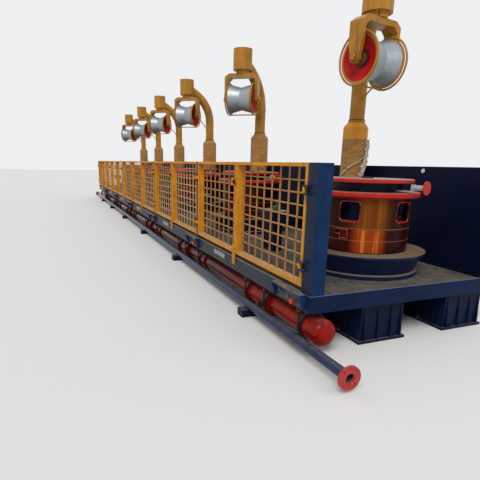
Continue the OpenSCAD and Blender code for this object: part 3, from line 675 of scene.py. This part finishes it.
def door_finish():
    """Yellow frame, and a tan mesh that is paler beyond the first bay."""
    f = Finish("door yellow paint", 0.38, 0.0, 0.15)
    place = from_start(f)
    yellow = mottled(f, srgb(210, 138, 30), 0.8, 0.4)
    far = f.ramp(f.axis(0), X_END - BAY + 0.2, X_END - BAY - 0.2)
    tan = mottled(f, f.blend(far, srgb(172, 120, 62), srgb(194, 150, 102)), 0.75, 0.35, 9.0)
    spans = [f.band(place, low, high) for low, high in OPENINGS]
    mesh = f.sum("MULTIPLY", f.sum("ADD", *spans), f.band(f.axis(2), DECK + RAILS[0], DECK + RAILS[1]))
    mesh = f.sum("MULTIPLY", mesh, f.ramp(f.axis(1), Y_FRONT + MESH_FRONT - 0.001, Y_FRONT + MESH_FRONT))
    rough = f.ramp(f.noise(14.0, 3.0), -0.32, 1.22)
    dusty = dusted(f, f.blend(mesh, yellow, tan), 0.9, srgb(176, 156, 122))
    return f.done(dusty, rough, peel(f))


door_paint = door_finish()

# %% [markdown]
# ## Giving the finishes to the model's parts
#
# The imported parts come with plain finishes. We swap the material in each object's slots and
# leave its mesh alone.

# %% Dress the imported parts
plain = {
    "deck_plate": deck_paint, "front_beam": edge_paint, "rear_beam": navy_paint, "end_beams": end_paint,
    "cross_members": navy_paint, "front_pedestals": navy_paint, "rear_pedestals": navy_paint,
    "front_feet": navy_paint, "corner_posts": post_paint, "fence_posts": grey_paint,
    "control_boxes": box_paint, "control_buttons": button_paint, "cooling_header": red_paint,
    "header_clamps": clamp_paint, "water_pipe": pipe_paint, "water_flanges": flange_paint,
    "block_bases": base_paint, "rear_housings": wall_paint, "column_casings": casing_paint,
    "swan_necks": column_paint, "sleeves": column_paint, "yokes": column_paint,
    "guard_rings": column_paint, "die_boxes": navy_paint,
}
for b in range(1, BLOCKS + 1):
    plain[f"door_right_{b}"] = door_paint
    plain[f"door_left_{b}"] = door_paint
    plain[f"drum_{b}"] = drum_paint
    plain[f"takeoff_ring_{b}"] = ring_paint
    plain[f"pulley_{b}"] = pulley_paints[b - 1]
for name, finish in plain.items():
    for holder in nodes[name].material_slots:
        holder.material = finish
print("dressed", len(plain), "of", len(nodes), "parts")

# %% [markdown]
# ## A small kit for shapes
#
# Each new piece is a grid of points: one index walks round the piece and the other along it.
# A lathe turns a profile about an axis, and six steps round it give a hexagon nut for free. A
# tube is a circle carried along a path, and a rod is a short lathe between two points.


# %% Turned shapes and tubes
def upright_pair(axis):
    """Two directions at right angles to `axis` and to each other."""
    axis = np.asarray(axis, float) / np.linalg.norm(axis)
    helper = np.array([0.0, 0.0, 1.0]) if abs(axis[2]) < 0.9 else np.array([1.0, 0.0, 0.0])
    first = np.cross(axis, helper)
    first /= np.linalg.norm(first)
    return axis, first, np.cross(axis, first)


def lathe(profile, centre, axis=(0, 0, 1), steps=32):
    """centre + h * axis + r * (cos t * first + sin t * second) for each (r, h) of the profile."""
    axis, first, second = upright_pair(axis)
    r, h = np.asarray(profile, float).T
    t = np.linspace(0, 2 * np.pi, steps, endpoint=False)[:, None, None]
    round_it = np.cos(t) * first + np.sin(t) * second
    return np.asarray(centre) + r[None, :, None] * round_it + h[None, :, None] * axis, True, False


def tube(path, radius, steps=10, loop=False, side=(0, 0, 1)):
    """A circle carried along the path, standing square to it."""
    path = np.asarray(path, float)
    if loop:
        ahead_of = np.roll(path, -1, 0) - np.roll(path, 1, 0)
    else:
        ahead_of = np.gradient(path, axis=0)
    ahead_of /= np.linalg.norm(ahead_of, axis=1)[:, None]
    first = np.cross(ahead_of, np.broadcast_to(side, path.shape))
    first /= np.linalg.norm(first, axis=1)[:, None]
    second = np.cross(ahead_of, first)
    t = np.linspace(0, 2 * np.pi, steps, endpoint=False)[:, None, None]
    ring = path + radius * (np.cos(t) * first + np.sin(t) * second)
    if not loop:
        ends = np.broadcast_to(path[[0]], (steps, 1, 3)), np.broadcast_to(path[[-1]], (steps, 1, 3))
        ring = np.concatenate([ends[0], ring, ends[1]], 1)
    return ring, True, loop


def rod(start, end, radius, steps=12):
    """A round bar with flat ends: a lathe whose axis runs from start to end."""
    start, end = np.asarray(start), np.asarray(end)
    length = np.linalg.norm(end - start)
    return lathe([(0, 0), (radius, 0), (radius, length), (0, length)], start, (end - start) / length, steps)


print("lathe, tube and rod ready")

# %% [markdown]
# A rounded block is a ball whose eight octants are pushed apart to a box's corners. The four
# quarter circles that this needs in plan serve rounded outlines as well.


# %% Rounded blocks
def quarter_turns(steps):
    """Angles of four quarter circles in turn, and the signs that push each to its corner."""
    t = np.concatenate([np.linspace(q, q + 1, steps) for q in range(4)]) * np.pi / 2
    return t, np.repeat([1, -1, -1, 1], steps), np.repeat([1, 1, -1, -1], steps)


def rounded_block(low, high, edge=0.004, steps=3):
    """A ball's octants pushed apart to a box's corners: round edges `edge` in radius."""
    low, high = np.asarray(low, float), np.asarray(high, float)
    middle, half = (low + high) / 2, (high - low) / 2 - edge
    t, sx, sy = quarter_turns(steps)
    p = np.concatenate([np.linspace(-1, 0, steps), np.linspace(0, 1, steps)]) * np.pi / 2
    sz = np.repeat([-1, 1], steps)
    x = sx[:, None] * half[0] + edge * np.cos(p) * np.cos(t)[:, None]
    y = sy[:, None] * half[1] + edge * np.cos(p) * np.sin(t)[:, None]
    z = np.broadcast_to(sz * half[2] + edge * np.sin(p), x.shape)
    grid = np.stack([x, y, z], 2)
    cap = np.zeros((len(t), 1, 3))
    under, over = cap.copy(), cap.copy()
    under[..., 2], over[..., 2] = -half[2] - edge, half[2] + edge
    return middle + np.concatenate([under, grid, over], 1), True, False


print("a rounded block takes", rounded_block((0, 0, 0), (1, 1, 1))[0].shape[0], "points round")

# %% [markdown]
# A grid becomes a mesh when its neighbours are joined into quads. Many grids may share one
# mesh, so all the nuts of a kind are one piece. Points that fall together at poles are
# merged, and the faces are then turned to look outwards.


# %% From grids to a piece
def faces_of(shape, wrap_u, wrap_v, start):
    """Quads between neighbours of a (u, v) grid whose points begin at `start`."""
    nu, nv = shape
    u = np.arange(nu if wrap_u else nu - 1)[:, None]
    v = np.arange(nv if wrap_v else nv - 1)[None, :]
    un, vn = (u + 1) % nu, (v + 1) % nv
    corners = [u * nv + v, un * nv + v, un * nv + vn, u * nv + vn]
    return start + np.stack([np.broadcast_to(c, (u.size, v.size)) for c in corners], -1).reshape(-1, 4)


def piece(name, grids, body, finish, crease=35.0):
    """One mesh object from one or more grids, merged, turned outwards and riding on a body."""
    points, faces, start = [], [], 0
    for grid, wrap_u, wrap_v in grids:
        points.append(grid.reshape(-1, 3))
        faces.append(faces_of(grid.shape[:2], wrap_u, wrap_v, start))
        start += grid.shape[0] * grid.shape[1]
    mesh = bpy.data.meshes.new(name)
    mesh.from_pydata(np.concatenate(points), [], np.concatenate(faces))
    work = bmesh.new()
    work.from_mesh(mesh)
    bmesh.ops.remove_doubles(work, verts=work.verts, dist=1e-5)
    bmesh.ops.dissolve_degenerate(work, edges=work.edges, dist=1e-6)
    bmesh.ops.recalc_face_normals(work, faces=work.faces)
    work.to_mesh(mesh)
    work.free()
    mesh.polygons.foreach_set("use_smooth", np.ones(len(mesh.polygons), bool))
    mesh.set_sharp_from_angle(angle=math.radians(crease))
    made = put(name, mesh)
    mesh.materials.append(finish)
    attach(made, body)
    return made


def nut(centre, axis, across=0.030, height=0.016, washer=0.0):
    """A chamfered hexagon and, if asked, a round washer under it, `washer` in radius."""
    r = across / 2 / math.cos(math.pi / 6)
    thick = washer * 0.12
    profile = [(0, 0), (r * 0.96, 0), (r, height * 0.1), (r, height * 0.8), (r * 0.86, height), (0, height)]
    grids = [lathe(profile, np.asarray(centre) + np.asarray(axis) * thick, axis, 6)]
    if washer:
        grids.append(lathe([(0, 0), (washer, 0), (washer, thick), (0, thick)], centre, axis, 24))
    return grids


rusty_bolt = paint("rusty foundation bolt", srgb(104, 70, 48), gloss=0.7, shade=0.6, grime=0.4,
                   dust=0.3, patch=80.0)
print("shape kit ready")

# %% [markdown]
# ## Window lips and the stepped notch on the drums
#
# The drum's windows have thick red lips. Each is a tube along a rounded square that is bent
# round the drum: the distance along the drum's wall becomes an angle about its axis.

# %% Make the lips
DRUM_R = 0.4365
WINDOW_TURN = -57.0
NOTCH_TURN = -66.0
NOTCH_BACK = 0.404
WINDOWS = 5
WINDOW_MID = DRUM_UP + 221 + 66 + 93
NOTCH_MID = DRUM_UP + 165
# The notch's back plate and the jackets' sill rings are red darkened as painted shade.
painted_shade_red = paint("red recess in painted shade", srgb(84, 20, 18), gloss=0.5, shade=0.8, grime=0.2, dust=0.1)


def rounded_square(half_w, half_h, corner, steps=6):
    """Points round a rectangle with round corners: a quarter circle pushed to each corner."""
    t, sx, sy = quarter_turns(steps)
    across = sx * (half_w - corner) + corner * np.cos(t)
    return np.stack([across, sy * (half_h - corner) + corner * np.sin(t)], 1)


def bend_round(outline, centre, radius, facing):
    """Wraps an outline (s, z) onto an upright cylinder: angle = facing + s / radius."""
    angle = math.radians(facing) + outline[:, 0] / radius
    x = centre[0] + radius * np.cos(angle)
    y = centre[1] + radius * np.sin(angle)
    return np.stack([x, y, centre[2] + outline[:, 1]], 1)


def bent_plate(centre, radius, facing, half_w, half_h, thick, steps=9):
    """A thin plate bent round an upright axis: four edges of its section, carried round."""
    s = np.linspace(-half_w, half_w, steps)
    angle = math.radians(facing) + s / radius
    section = ((radius, -half_h), (radius + thick, -half_h), (radius + thick, half_h), (radius, half_h))
    grid = np.array([np.stack([centre[0] + r * np.cos(angle), centre[1] + r * np.sin(angle),
                               np.full(steps, centre[2] + z)], 1) for r, z in section])
    ends = [np.broadcast_to(grid[:, [k]].mean(0), (4, 1, 3)) for k in (0, -1)]
    return np.concatenate([ends[0], grid, ends[1]], 1), True, False


window = rounded_square(0.096, 0.094, 0.032)
notch = np.array([(-0.065, 0.044), (-0.065, 0.0), (-0.010, 0.0), (-0.010, -0.040), (0.065, -0.040),
                  (0.065, 0.0), (0.065, 0.044), (0.0, 0.044)])
for b in range(1, BLOCKS + 1):
    lips = []
    for k in range(WINDOWS):
        at = spot(b, *drum_axis, WINDOW_MID)
        path = bend_round(window, at, DRUM_R, WINDOW_TURN + 360 / WINDOWS * k)
        lips.append(tube(path, 0.0065, 8, True, (0, 0, 1.0001)))
    at = spot(b, *drum_axis, NOTCH_MID)
    lips.append(tube(bend_round(notch, at, DRUM_R, NOTCH_TURN), 0.005, 8, True, (0.01, 0.02, 1)))
    piece(f"window_lips_{b}", lips, f"drum_{b}", lip_paint, 60)
    # A plate closes the back of the notch, dark red as painted shade in the recess.
    piece(f"notch_back_{b}", [bent_plate(at, NOTCH_BACK, NOTCH_TURN, 0.080, 0.070, 0.004)], f"drum_{b}",
          painted_shade_red)
print("lips on", BLOCKS, "drums")

# %% [markdown]
# Through the windows we see the block's cooling jacket, a navy cup that stands still inside
# the turning drum, with a red ring at the windows' sill, darkened as painted shade.

# %% The cooling jackets inside the drums
CUP = [(0.120, 0.010), (0.330, 0.010), (0.330, 0.480), (0.322, 0.480), (0.322, 0.018), (0.120, 0.018),
       (0.120, 0.010)]
SILL = [(0.331, 0.270), (0.398, 0.270), (0.398, 0.292), (0.331, 0.292), (0.331, 0.270)]
for b in range(1, BLOCKS + 1):
    foot = spot(b, *drum_axis, DRUM_UP)
    piece(f"cooling_jacket_{b}", [lathe(CUP, foot, steps=64)], "bed", navy_paint)
    # The sill ring is red darkened as painted shade.
    piece(f"jacket_ring_{b}", [lathe(SILL, foot, steps=64)], "bed", painted_shade_red)
print("jackets stand in", BLOCKS, "drums")

# %% [markdown]
# ## A torn scrap of packing film
#
# A strip of film hangs from the first casing, and a twisted strand runs off it. Each is a
# strip carried along a path, with folds across it from two waves and edges torn by three.
# Their flat width is the strip's own area over its length, so it says what was made and
# doesn't measure the real film.

# %% Hang the scraps
FILM_OFF = 0.010
FILM_THICK = 0.0006
scrap_paint = paint("torn packing film", srgb(196, 182, 166), gloss=0.4, shade=0.85, grime=0.15,
                    dust=0.2, patch=20.0)


def scrap(name, stops, half_width, lean, folds):
    """path(t) + width(t, s) * s * across + (FILM_OFF + two waves of t and s) * out."""
    t = np.linspace(0, len(stops) - 1, 90)
    places = np.array([spot(1, *stop) for stop in stops])
    path = np.stack([np.interp(t, range(len(stops)), c) for c in places.T], 1)
    s = np.linspace(-1, 1, 13)
    across = np.asarray(lean, float) / np.linalg.norm(lean)
    out = np.array([1.0, 0.0, 0.0])
    width = half_width * (0.45 + 0.55 * t / t[-1])
    torn = [1 + 0.22 * np.sin(7.0 * t + q) + 0.14 * np.sin(19.0 * t + 2 * q) + 0.08 * np.sin(43.0 * t)
            for q in (0.0, 2.1)]
    width = width[:, None] * np.where(s[None, :] < 0, torn[0][:, None], torn[1][:, None])
    fold = np.sin(folds * s[None, :] + 3.3 * t[:, None])
    crease = np.sin(9.1 * t[:, None] + 4.0 * s[None, :])
    ripple = 0.005 * fold + 0.004 * crease
    grid = path[:, None] + (width * s[None, :])[..., None] * across + (FILM_OFF + ripple)[..., None] * out
    made = piece(name, [(grid, False, False)], "bed", scrap_paint, 80)
    skin = made.modifiers.new("film thickness", "SOLIDIFY")
    skin.thickness = FILM_THICK
    run = np.linalg.norm(np.diff(path, axis=0), axis=1).sum()


scrap("film_scrap", [(-1728, 1822, 1345), (-1727, 1812, 1240), (-1726, 1806, 1130), (-1724, 1782, 1030),
                     (-1724, 1745, 900)], 0.044, (0, 1, 0.1), 5.0)
scrap("film_strand", [(-1722, 1782, 1150), (-1722, 1700, 1085), (-1770, 1600, 1020), (-1860, 1584, 960),
                      (-1935, 1584, 900)], 0.020, (0, 0.3, 1), 3.0)

# %% [markdown]
# ## Nuts and washers that hold the overhead pulleys
#
# A large nut on a washer holds each end of an overhead axle, outside the yoke.

# %% Axle nuts
NUT_SIDE = 0.2855
for b in range(1, BLOCKS + 1):
    middle, along = axle_of(b)
    grids = []
    for side in (-1, 1):
        grids += nut(middle + along * side * NUT_SIDE, along * side, 0.066, 0.030, 0.044)
    piece(f"axle_nuts_{b}", grids, "bed", column_paint)
print("axle nuts at", round(float(axle_of(1)[0][2]), 3), "m")

# %% [markdown]
# ## Stout guard hoops
#
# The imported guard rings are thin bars. In the photograph they are stout bent tubes that hug the
# rims, so each is made again as a circle carried round the axle, 6 mm clear of the rim.

# %% Guard hoops
HOOP_R = 0.254
HOOP_BAR = 0.0115
HOOP_SIDE = 0.2215
STAY_BAR = 0.009
YOKE_FACE = 0.243
upwards = np.array([0.0, 0.0, 1.0])
round_turn = np.linspace(0, 2 * np.pi, 64, endpoint=False)[:, None]
hoops = []
for b in range(1, BLOCKS + 1):
    middle, along = axle_of(b)
    beside = np.cross(upwards, along)
    for side in (-1, 1):
        centre = middle + along * side * HOOP_SIDE
        circle = centre + HOOP_R * (np.cos(round_turn) * beside + np.sin(round_turn) * upwards)
        hoops.append(tube(circle, HOOP_BAR, 12, True, tuple(along)))
        top = centre + upwards * HOOP_R
        hoops.append(rod(top, top + along * side * (YOKE_FACE - HOOP_SIDE), STAY_BAR))
    low = middle - upwards * HOOP_R
    hoops.append(rod(low - along * HOOP_SIDE, low + along * HOOP_SIDE, STAY_BAR))
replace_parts(piece("guard_hoops", hoops, "bed", column_paint, 60), "guard_rings")
print("hoops and stays", len(hoops))

# %% [markdown]
# ## Small pieces along the fence and the bed
#
# Every bay repeats the same fittings, each given in its block's own millimetres. First come a
# domed stop button on the control box and a pale bare plate on the bed's edge.

# %% Stop buttons and bare plates
STOP_AT = (-60 - 0.305 * 490, -8 - 46, -132 / 2 - 28)
PLATE_FROM = (-2264, -2.5, -85)
PLATE_TO = (-1900, 0.5, -30)
bare_plate = paint("bare plate", srgb(158, 156, 146), gloss=0.5, shade=0.6, grime=0.6, dust=0.3, patch=30.0)


def dome(centre, axis, radius, height, steps=24):
    """A lathe of a quarter ellipse, closed at its foot."""
    t = np.linspace(0, np.pi / 2, 8)
    rise = [(0.0, 0.0)] + [(radius * math.cos(a), height * math.sin(a)) for a in t]
    return lathe(rise, centre, axis, steps)


for b in range(1, BLOCKS + 1):
    stop = dome(spot(b, *STOP_AT), (0, -1, 0), 0.0245, 0.013)
    piece(f"stop_button_{b}", [stop], "bed", button_paint, 60)
    plate = rounded_block(spot(b, *PLATE_FROM), spot(b, *PLATE_TO), 0.001)
    piece(f"bare_plate_{b}", [plate], "bed", bare_plate)
print("stop buttons and plates on", BLOCKS, "bays")

# %% [markdown]
# Caps close the hinge pins and stay with the posts. Two keepers on each leaf hold its drop
# bolt, and the right-hand leaf has a knob on its latch. Keepers and knobs ride on the leaves
# and swing out with them.

# %% Hinge caps, bolt keepers and latch knobs
HINGE_Y = -22.0
HINGES = (225.0, 830.0)
LUG_TOP = 23.0 + 0.6 + 14.0
LEAVES_MEET = 1589.0
BOLT_IN = 8.0 + 15.0
KEEPERS_UP = (60.0, 118.0)
KNOB_UP = 830
KNOB = [(0, 0), (0.0185, 0), (0.0205, 0.004), (0.0205, 0.020), (0.016, 0.025), (0, 0.026)]
dark_knob = paint("dark knob", srgb(30, 22, 24), gloss=0.4, shade=0.8, grime=0.1, dust=0.2)


def hinge_line(b, right):
    """Distance from bay b's start to the hinge line of its right or left leaf."""
    if right:
        return 157.0 if b == 1 else 229.0
    return 3021.0 if b == BLOCKS else 2949.0


for b in range(1, BLOCKS + 1):
    caps = []
    for right in (True, False):
        for h in HINGES:
            for way in (1, -1):
                at = spot(b, -hinge_line(b, right), HINGE_Y, h + way * (LUG_TOP - 1))
                caps.append(dome(at, (0, 0, way), 0.010, 0.007, 16))
    piece(f"hinge_caps_{b}", caps, "bed", post_paint if b == 1 else clamp_paint, 60)
    for side, way in (("right", 1), ("left", -1)):
        x = -LEAVES_MEET + way * BOLT_IN
        keepers = [rounded_block(spot(b, x - 17, -21, h), spot(b, x + 17, 1, h + 7), 0.001)
                   for h in KEEPERS_UP]
        piece(f"bolt_keepers_{side}_{b}", keepers, f"door_{side}_{b}", door_paint)
    knob = lathe(KNOB, spot(b, -LEAVES_MEET + BOLT_IN, -24, KNOB_UP), (0, -1, 0), 24)
    piece(f"latch_knob_{b}", [knob], f"door_right_{b}", dark_knob, 50)
print("knobs and keepers on", 2 * BLOCKS, "leaves")

# %% [markdown]
# Long bolts hold the pipe clamps up to the beam, each with a bar across its foot and three
# rusty nuts. A red riser with a collar joins the header to the bed.

# %% Clamp bolts and header risers
CLAMPS = (180.0, 850.0, 1300.0)
CLAMP_Y = 14
NUTS_UP = (-392, -368, -182)
BEAM_LOW = -150.0
RISER = (-333.0, 110)
for b in range(1, BLOCKS + 1):
    bolts, nuts = [], []
    for x in CLAMPS:
        bolts.append(rod(spot(b, -x, CLAMP_Y, -400), spot(b, -x, CLAMP_Y, BEAM_LOW - 1), 0.008))
        bolts.append(rounded_block(spot(b, -x - 20, 4, -382), spot(b, -x + 20, 34, -368), 0.002))
        for h in NUTS_UP:
            nuts += nut(spot(b, -x, CLAMP_Y, h), (0, 0, 1), 0.026, 0.012)
    piece(f"clamp_bolts_{b}", bolts, "bed", clamp_paint)
    piece(f"clamp_nuts_{b}", nuts, "bed", rusty_bolt)
    riser = [rod(spot(b, *RISER, -235), spot(b, *RISER, BEAM_LOW + 2), 0.024, 20),
             rod(spot(b, *RISER, BEAM_LOW - 22), spot(b, *RISER, BEAM_LOW - 1), 0.036, 20)]
    piece(f"header_riser_{b}", riser, "bed", red_paint)
print("clamps and risers on", BLOCKS, "bays")

# %% [markdown]
# ## Nuts on the floor, lids and hubs
#
# Rusty nuts on washers hold the pedestals down, three along each side of a pedestal's foot.

# %% Foundation nuts
PED_Y = (570.0, 1575.0)
PED_LONG = 1390
FOOT_TOP = -520 + 24
for b in range(1, BLOCKS + 1):
    feet = []
    for y0 in PED_Y:
        for share in (0.235, 0.5, 0.765):
            for y in (y0 + 13, y0 + 517):
                at = spot(b, drum_axis[0] - PED_LONG / 2 + share * PED_LONG, y, FOOT_TOP)
                feet += nut(at, (0, 0, 1), 0.036, 0.018, 0.024)
    piece(f"foundation_nuts_{b}", feet, "bed", rusty_bolt)
print("nuts under", 2 * BLOCKS, "pedestals")

# %% [markdown]
# Each die box has a pale lid that stands 4 mm over its sides, with a green fitting on it.

# %% Die box lids and fittings
DIE_X, DIE_Y = drum_axis[0] - 1330, drum_axis[1] - 435 - 110
DIE_LONG, DIE_DEEP, DIE_UP = 380, 220, 480
green_paint = paint("green fitting paint", srgb(40, 84, 66), gloss=0.4, grime=0.3, dust=0.4)
lid_paint = paint("pale lid", srgb(104, 112, 124), gloss=0.4, grime=0.4, dust=0.5, patch=12.0)
for b in range(1, BLOCKS + 1):
    lid = rounded_block(spot(b, DIE_X - 4, DIE_Y - 4, DIE_UP),
                        spot(b, DIE_X + DIE_LONG + 4, DIE_Y + DIE_DEEP + 4, DIE_UP + 8), 0.002)
    piece(f"die_lid_{b}", [lid], "bed", lid_paint)
    tap = [rounded_block(spot(b, DIE_X + 250, DIE_Y + 60, 487),
                         spot(b, DIE_X + 330, DIE_Y + 130, 545), 0.006),
           rod(spot(b, DIE_X + 290, DIE_Y + 95, 540), spot(b, DIE_X + 290, DIE_Y + 95, 590), 0.014)]
    piece(f"die_fitting_{b}", tap, "bed", green_paint)
print("lids on", BLOCKS, "die boxes")

# %% [markdown]
# A groove round each neck above its casing is painted dark, as painted shade. A rusty hub
# stands round the axle at both ends of each pulley, and turns with it. Both profiles end where
# they begin, so their walls are closed.

# %% Neck grooves and pulley hubs
GROOVE_UP = 1488 + 56 + 33
GROOVE = [(0.090, 0), (0.1035, 0), (0.1035, 0.006), (0.090, 0.006), (0.090, 0)]
HUB_SIDE = 0.148
HUB = [(0.0235, 0), (0.062, 0), (0.062, 0.030), (0.048, 0.040), (0.0235, 0.040), (0.0235, 0)]
# The groove's dark colour is painted shade.
groove_shade_paint = paint("groove in painted shade", srgb(46, 30, 18), gloss=0.6, shade=0.8, grime=0.2, dust=0.2)
for b in range(1, BLOCKS + 1):
    groove = lathe(GROOVE, spot(b, *column_axis, GROOVE_UP), steps=40)
    piece(f"neck_groove_{b}", [groove], "bed", groove_shade_paint)
    middle, along = axle_of(b)
    hubs = [lathe(HUB, middle + along * side * HUB_SIDE, along * side) for side in (-1, 1)]
    piece(f"pulley_hubs_{b}", hubs, f"pulley_{b}", rusty_bolt, 40)
print("grooves and hubs on", BLOCKS, "columns")

# %% [markdown]
# Each end flange of the water pipe has a raised face round its bore, and a white plug sits in
# the first rear housing.

# %% Flange faces and a wall plug
FLANGE_X = X_END + 0.615 - 0.0005
FACE = [(0.037, 0), (0.0375, 0.003), (0.060, 0.003), (0.062, 0), (0.037, 0)]
PLUG = [(0, 0), (0.024, 0), (0.022, 0.006), (0, 0.007)]
PLUG_AT = (-876, 1914, 989)
plug_paint = paint("white plug", srgb(214, 216, 216), gloss=0.4, shade=0.9, grime=0.1, dust=0.1)
faces = [lathe(FACE, (side * FLANGE_X, Y_FRONT - 0.036, DECK - 0.400), (side, 0, 0), 40) for side in (1, -1)]
piece("flange_faces", faces, "bed", flange_paint)
piece("wall_plug", [lathe(PLUG, spot(1, *PLUG_AT), (0, -1, 0), 28)], "bed", plug_paint, 50)
print("flange faces at x", round(FLANGE_X, 3), "m")

# %% [markdown]
# ## The floor, the light and the view
#
# The machine stands on a plain pale floor, which isn't part of the machine.

# %% The floor
FLOOR_REACH = 70
edges = FLOOR_REACH * np.array([(-1, -1, 0), (1, -1, 0), (1, 1, 0), (-1, 1, 0)])
floor_mesh = bpy.data.meshes.new("floor")
floor_mesh.from_pydata(edges.tolist(), [], [(0, 1, 2, 3)])
floor = put("floor", floor_mesh)
floor_finish = bpy.data.materials.new("pale floor")
floor_finish.use_nodes = True
floor_shader = floor_finish.node_tree.nodes["Principled BSDF"]
floor_shader.inputs["Base Color"].default_value = (0.80, 0.79, 0.77, 1)
floor_shader.inputs["Roughness"].default_value = 0.9
floor_mesh.materials.append(floor_finish)
print("floor reaches", FLOOR_REACH, "m each way")

# %% [markdown]
# The world lights the shadows. The camera, reflections and glass see another, brighter colour
# in its place, which is nearly white. Matt surfaces are lit by the first one alone.

# %% The world
world = bpy.data.worlds.new("studio")
bpy.context.scene.world = world
world.use_nodes = True
sky = world.node_tree
seen = sky.nodes.new("ShaderNodeLightPath")
shown_to = seen.outputs["Is Camera Ray"]
for ray in ("Is Glossy Ray", "Is Transmission Ray"):
    either = sky.nodes.new("ShaderNodeMath")
    either.operation = "MAXIMUM"
    sky.links.new(shown_to, either.inputs[0])
    sky.links.new(seen.outputs[ray], either.inputs[1])
    shown_to = either.outputs[0]
backdrop = sky.nodes.new("ShaderNodeBackground")
backdrop.inputs["Color"].default_value = (0.86, 0.87, 0.88, 1)
light = sky.nodes["Background"]
light.inputs["Color"].default_value = (0.95, 0.98, 1.0, 1)
light.inputs["Strength"].default_value = 0.55
both = sky.nodes.new("ShaderNodeMixShader")
sky.links.new(shown_to, both.inputs[0])
sky.links.new(light.outputs[0], both.inputs[1])
sky.links.new(backdrop.outputs[0], both.inputs[2])
sky.links.new(both.outputs[0], sky.nodes["World Output"].inputs["Surface"])
print("world strength", round(light.inputs["Strength"].default_value, 2))

# %% [markdown]
# One broad sun gives the forms their shape, and a softbox behind the near corner puts a sheen
# on the bare metal. The camera doesn't see the softbox itself.

# %% The lamps
SUN_WAY = (-0.75, 0.55, -0.95)
BOX_AT = (11.4, 2.4, 4.9)
BOX_AIM = (7.4, 0.4, 2.6)


def aim(lamp, way):
    """Turns a lamp so that it shines along a direction."""
    lamp.rotation_euler = way.to_track_quat("-Z", "Y").to_euler()


sun = put("soft_sun", bpy.data.lights.new("soft_sun", "SUN"))
sun.data.energy = 1.7
sun.data.angle = math.radians(30)
aim(sun, Vector(SUN_WAY))
softbox = put("softbox", bpy.data.lights.new("softbox", "AREA"))
softbox.data.energy = 26
softbox.data.size = 3.2
softbox.location = BOX_AT
softbox.visible_camera = False
aim(softbox, Vector(BOX_AIM) - softbox.location)
bpy.context.scene.view_settings.view_transform = "Standard"
print("lamps:", sun.name, "and", softbox.name)
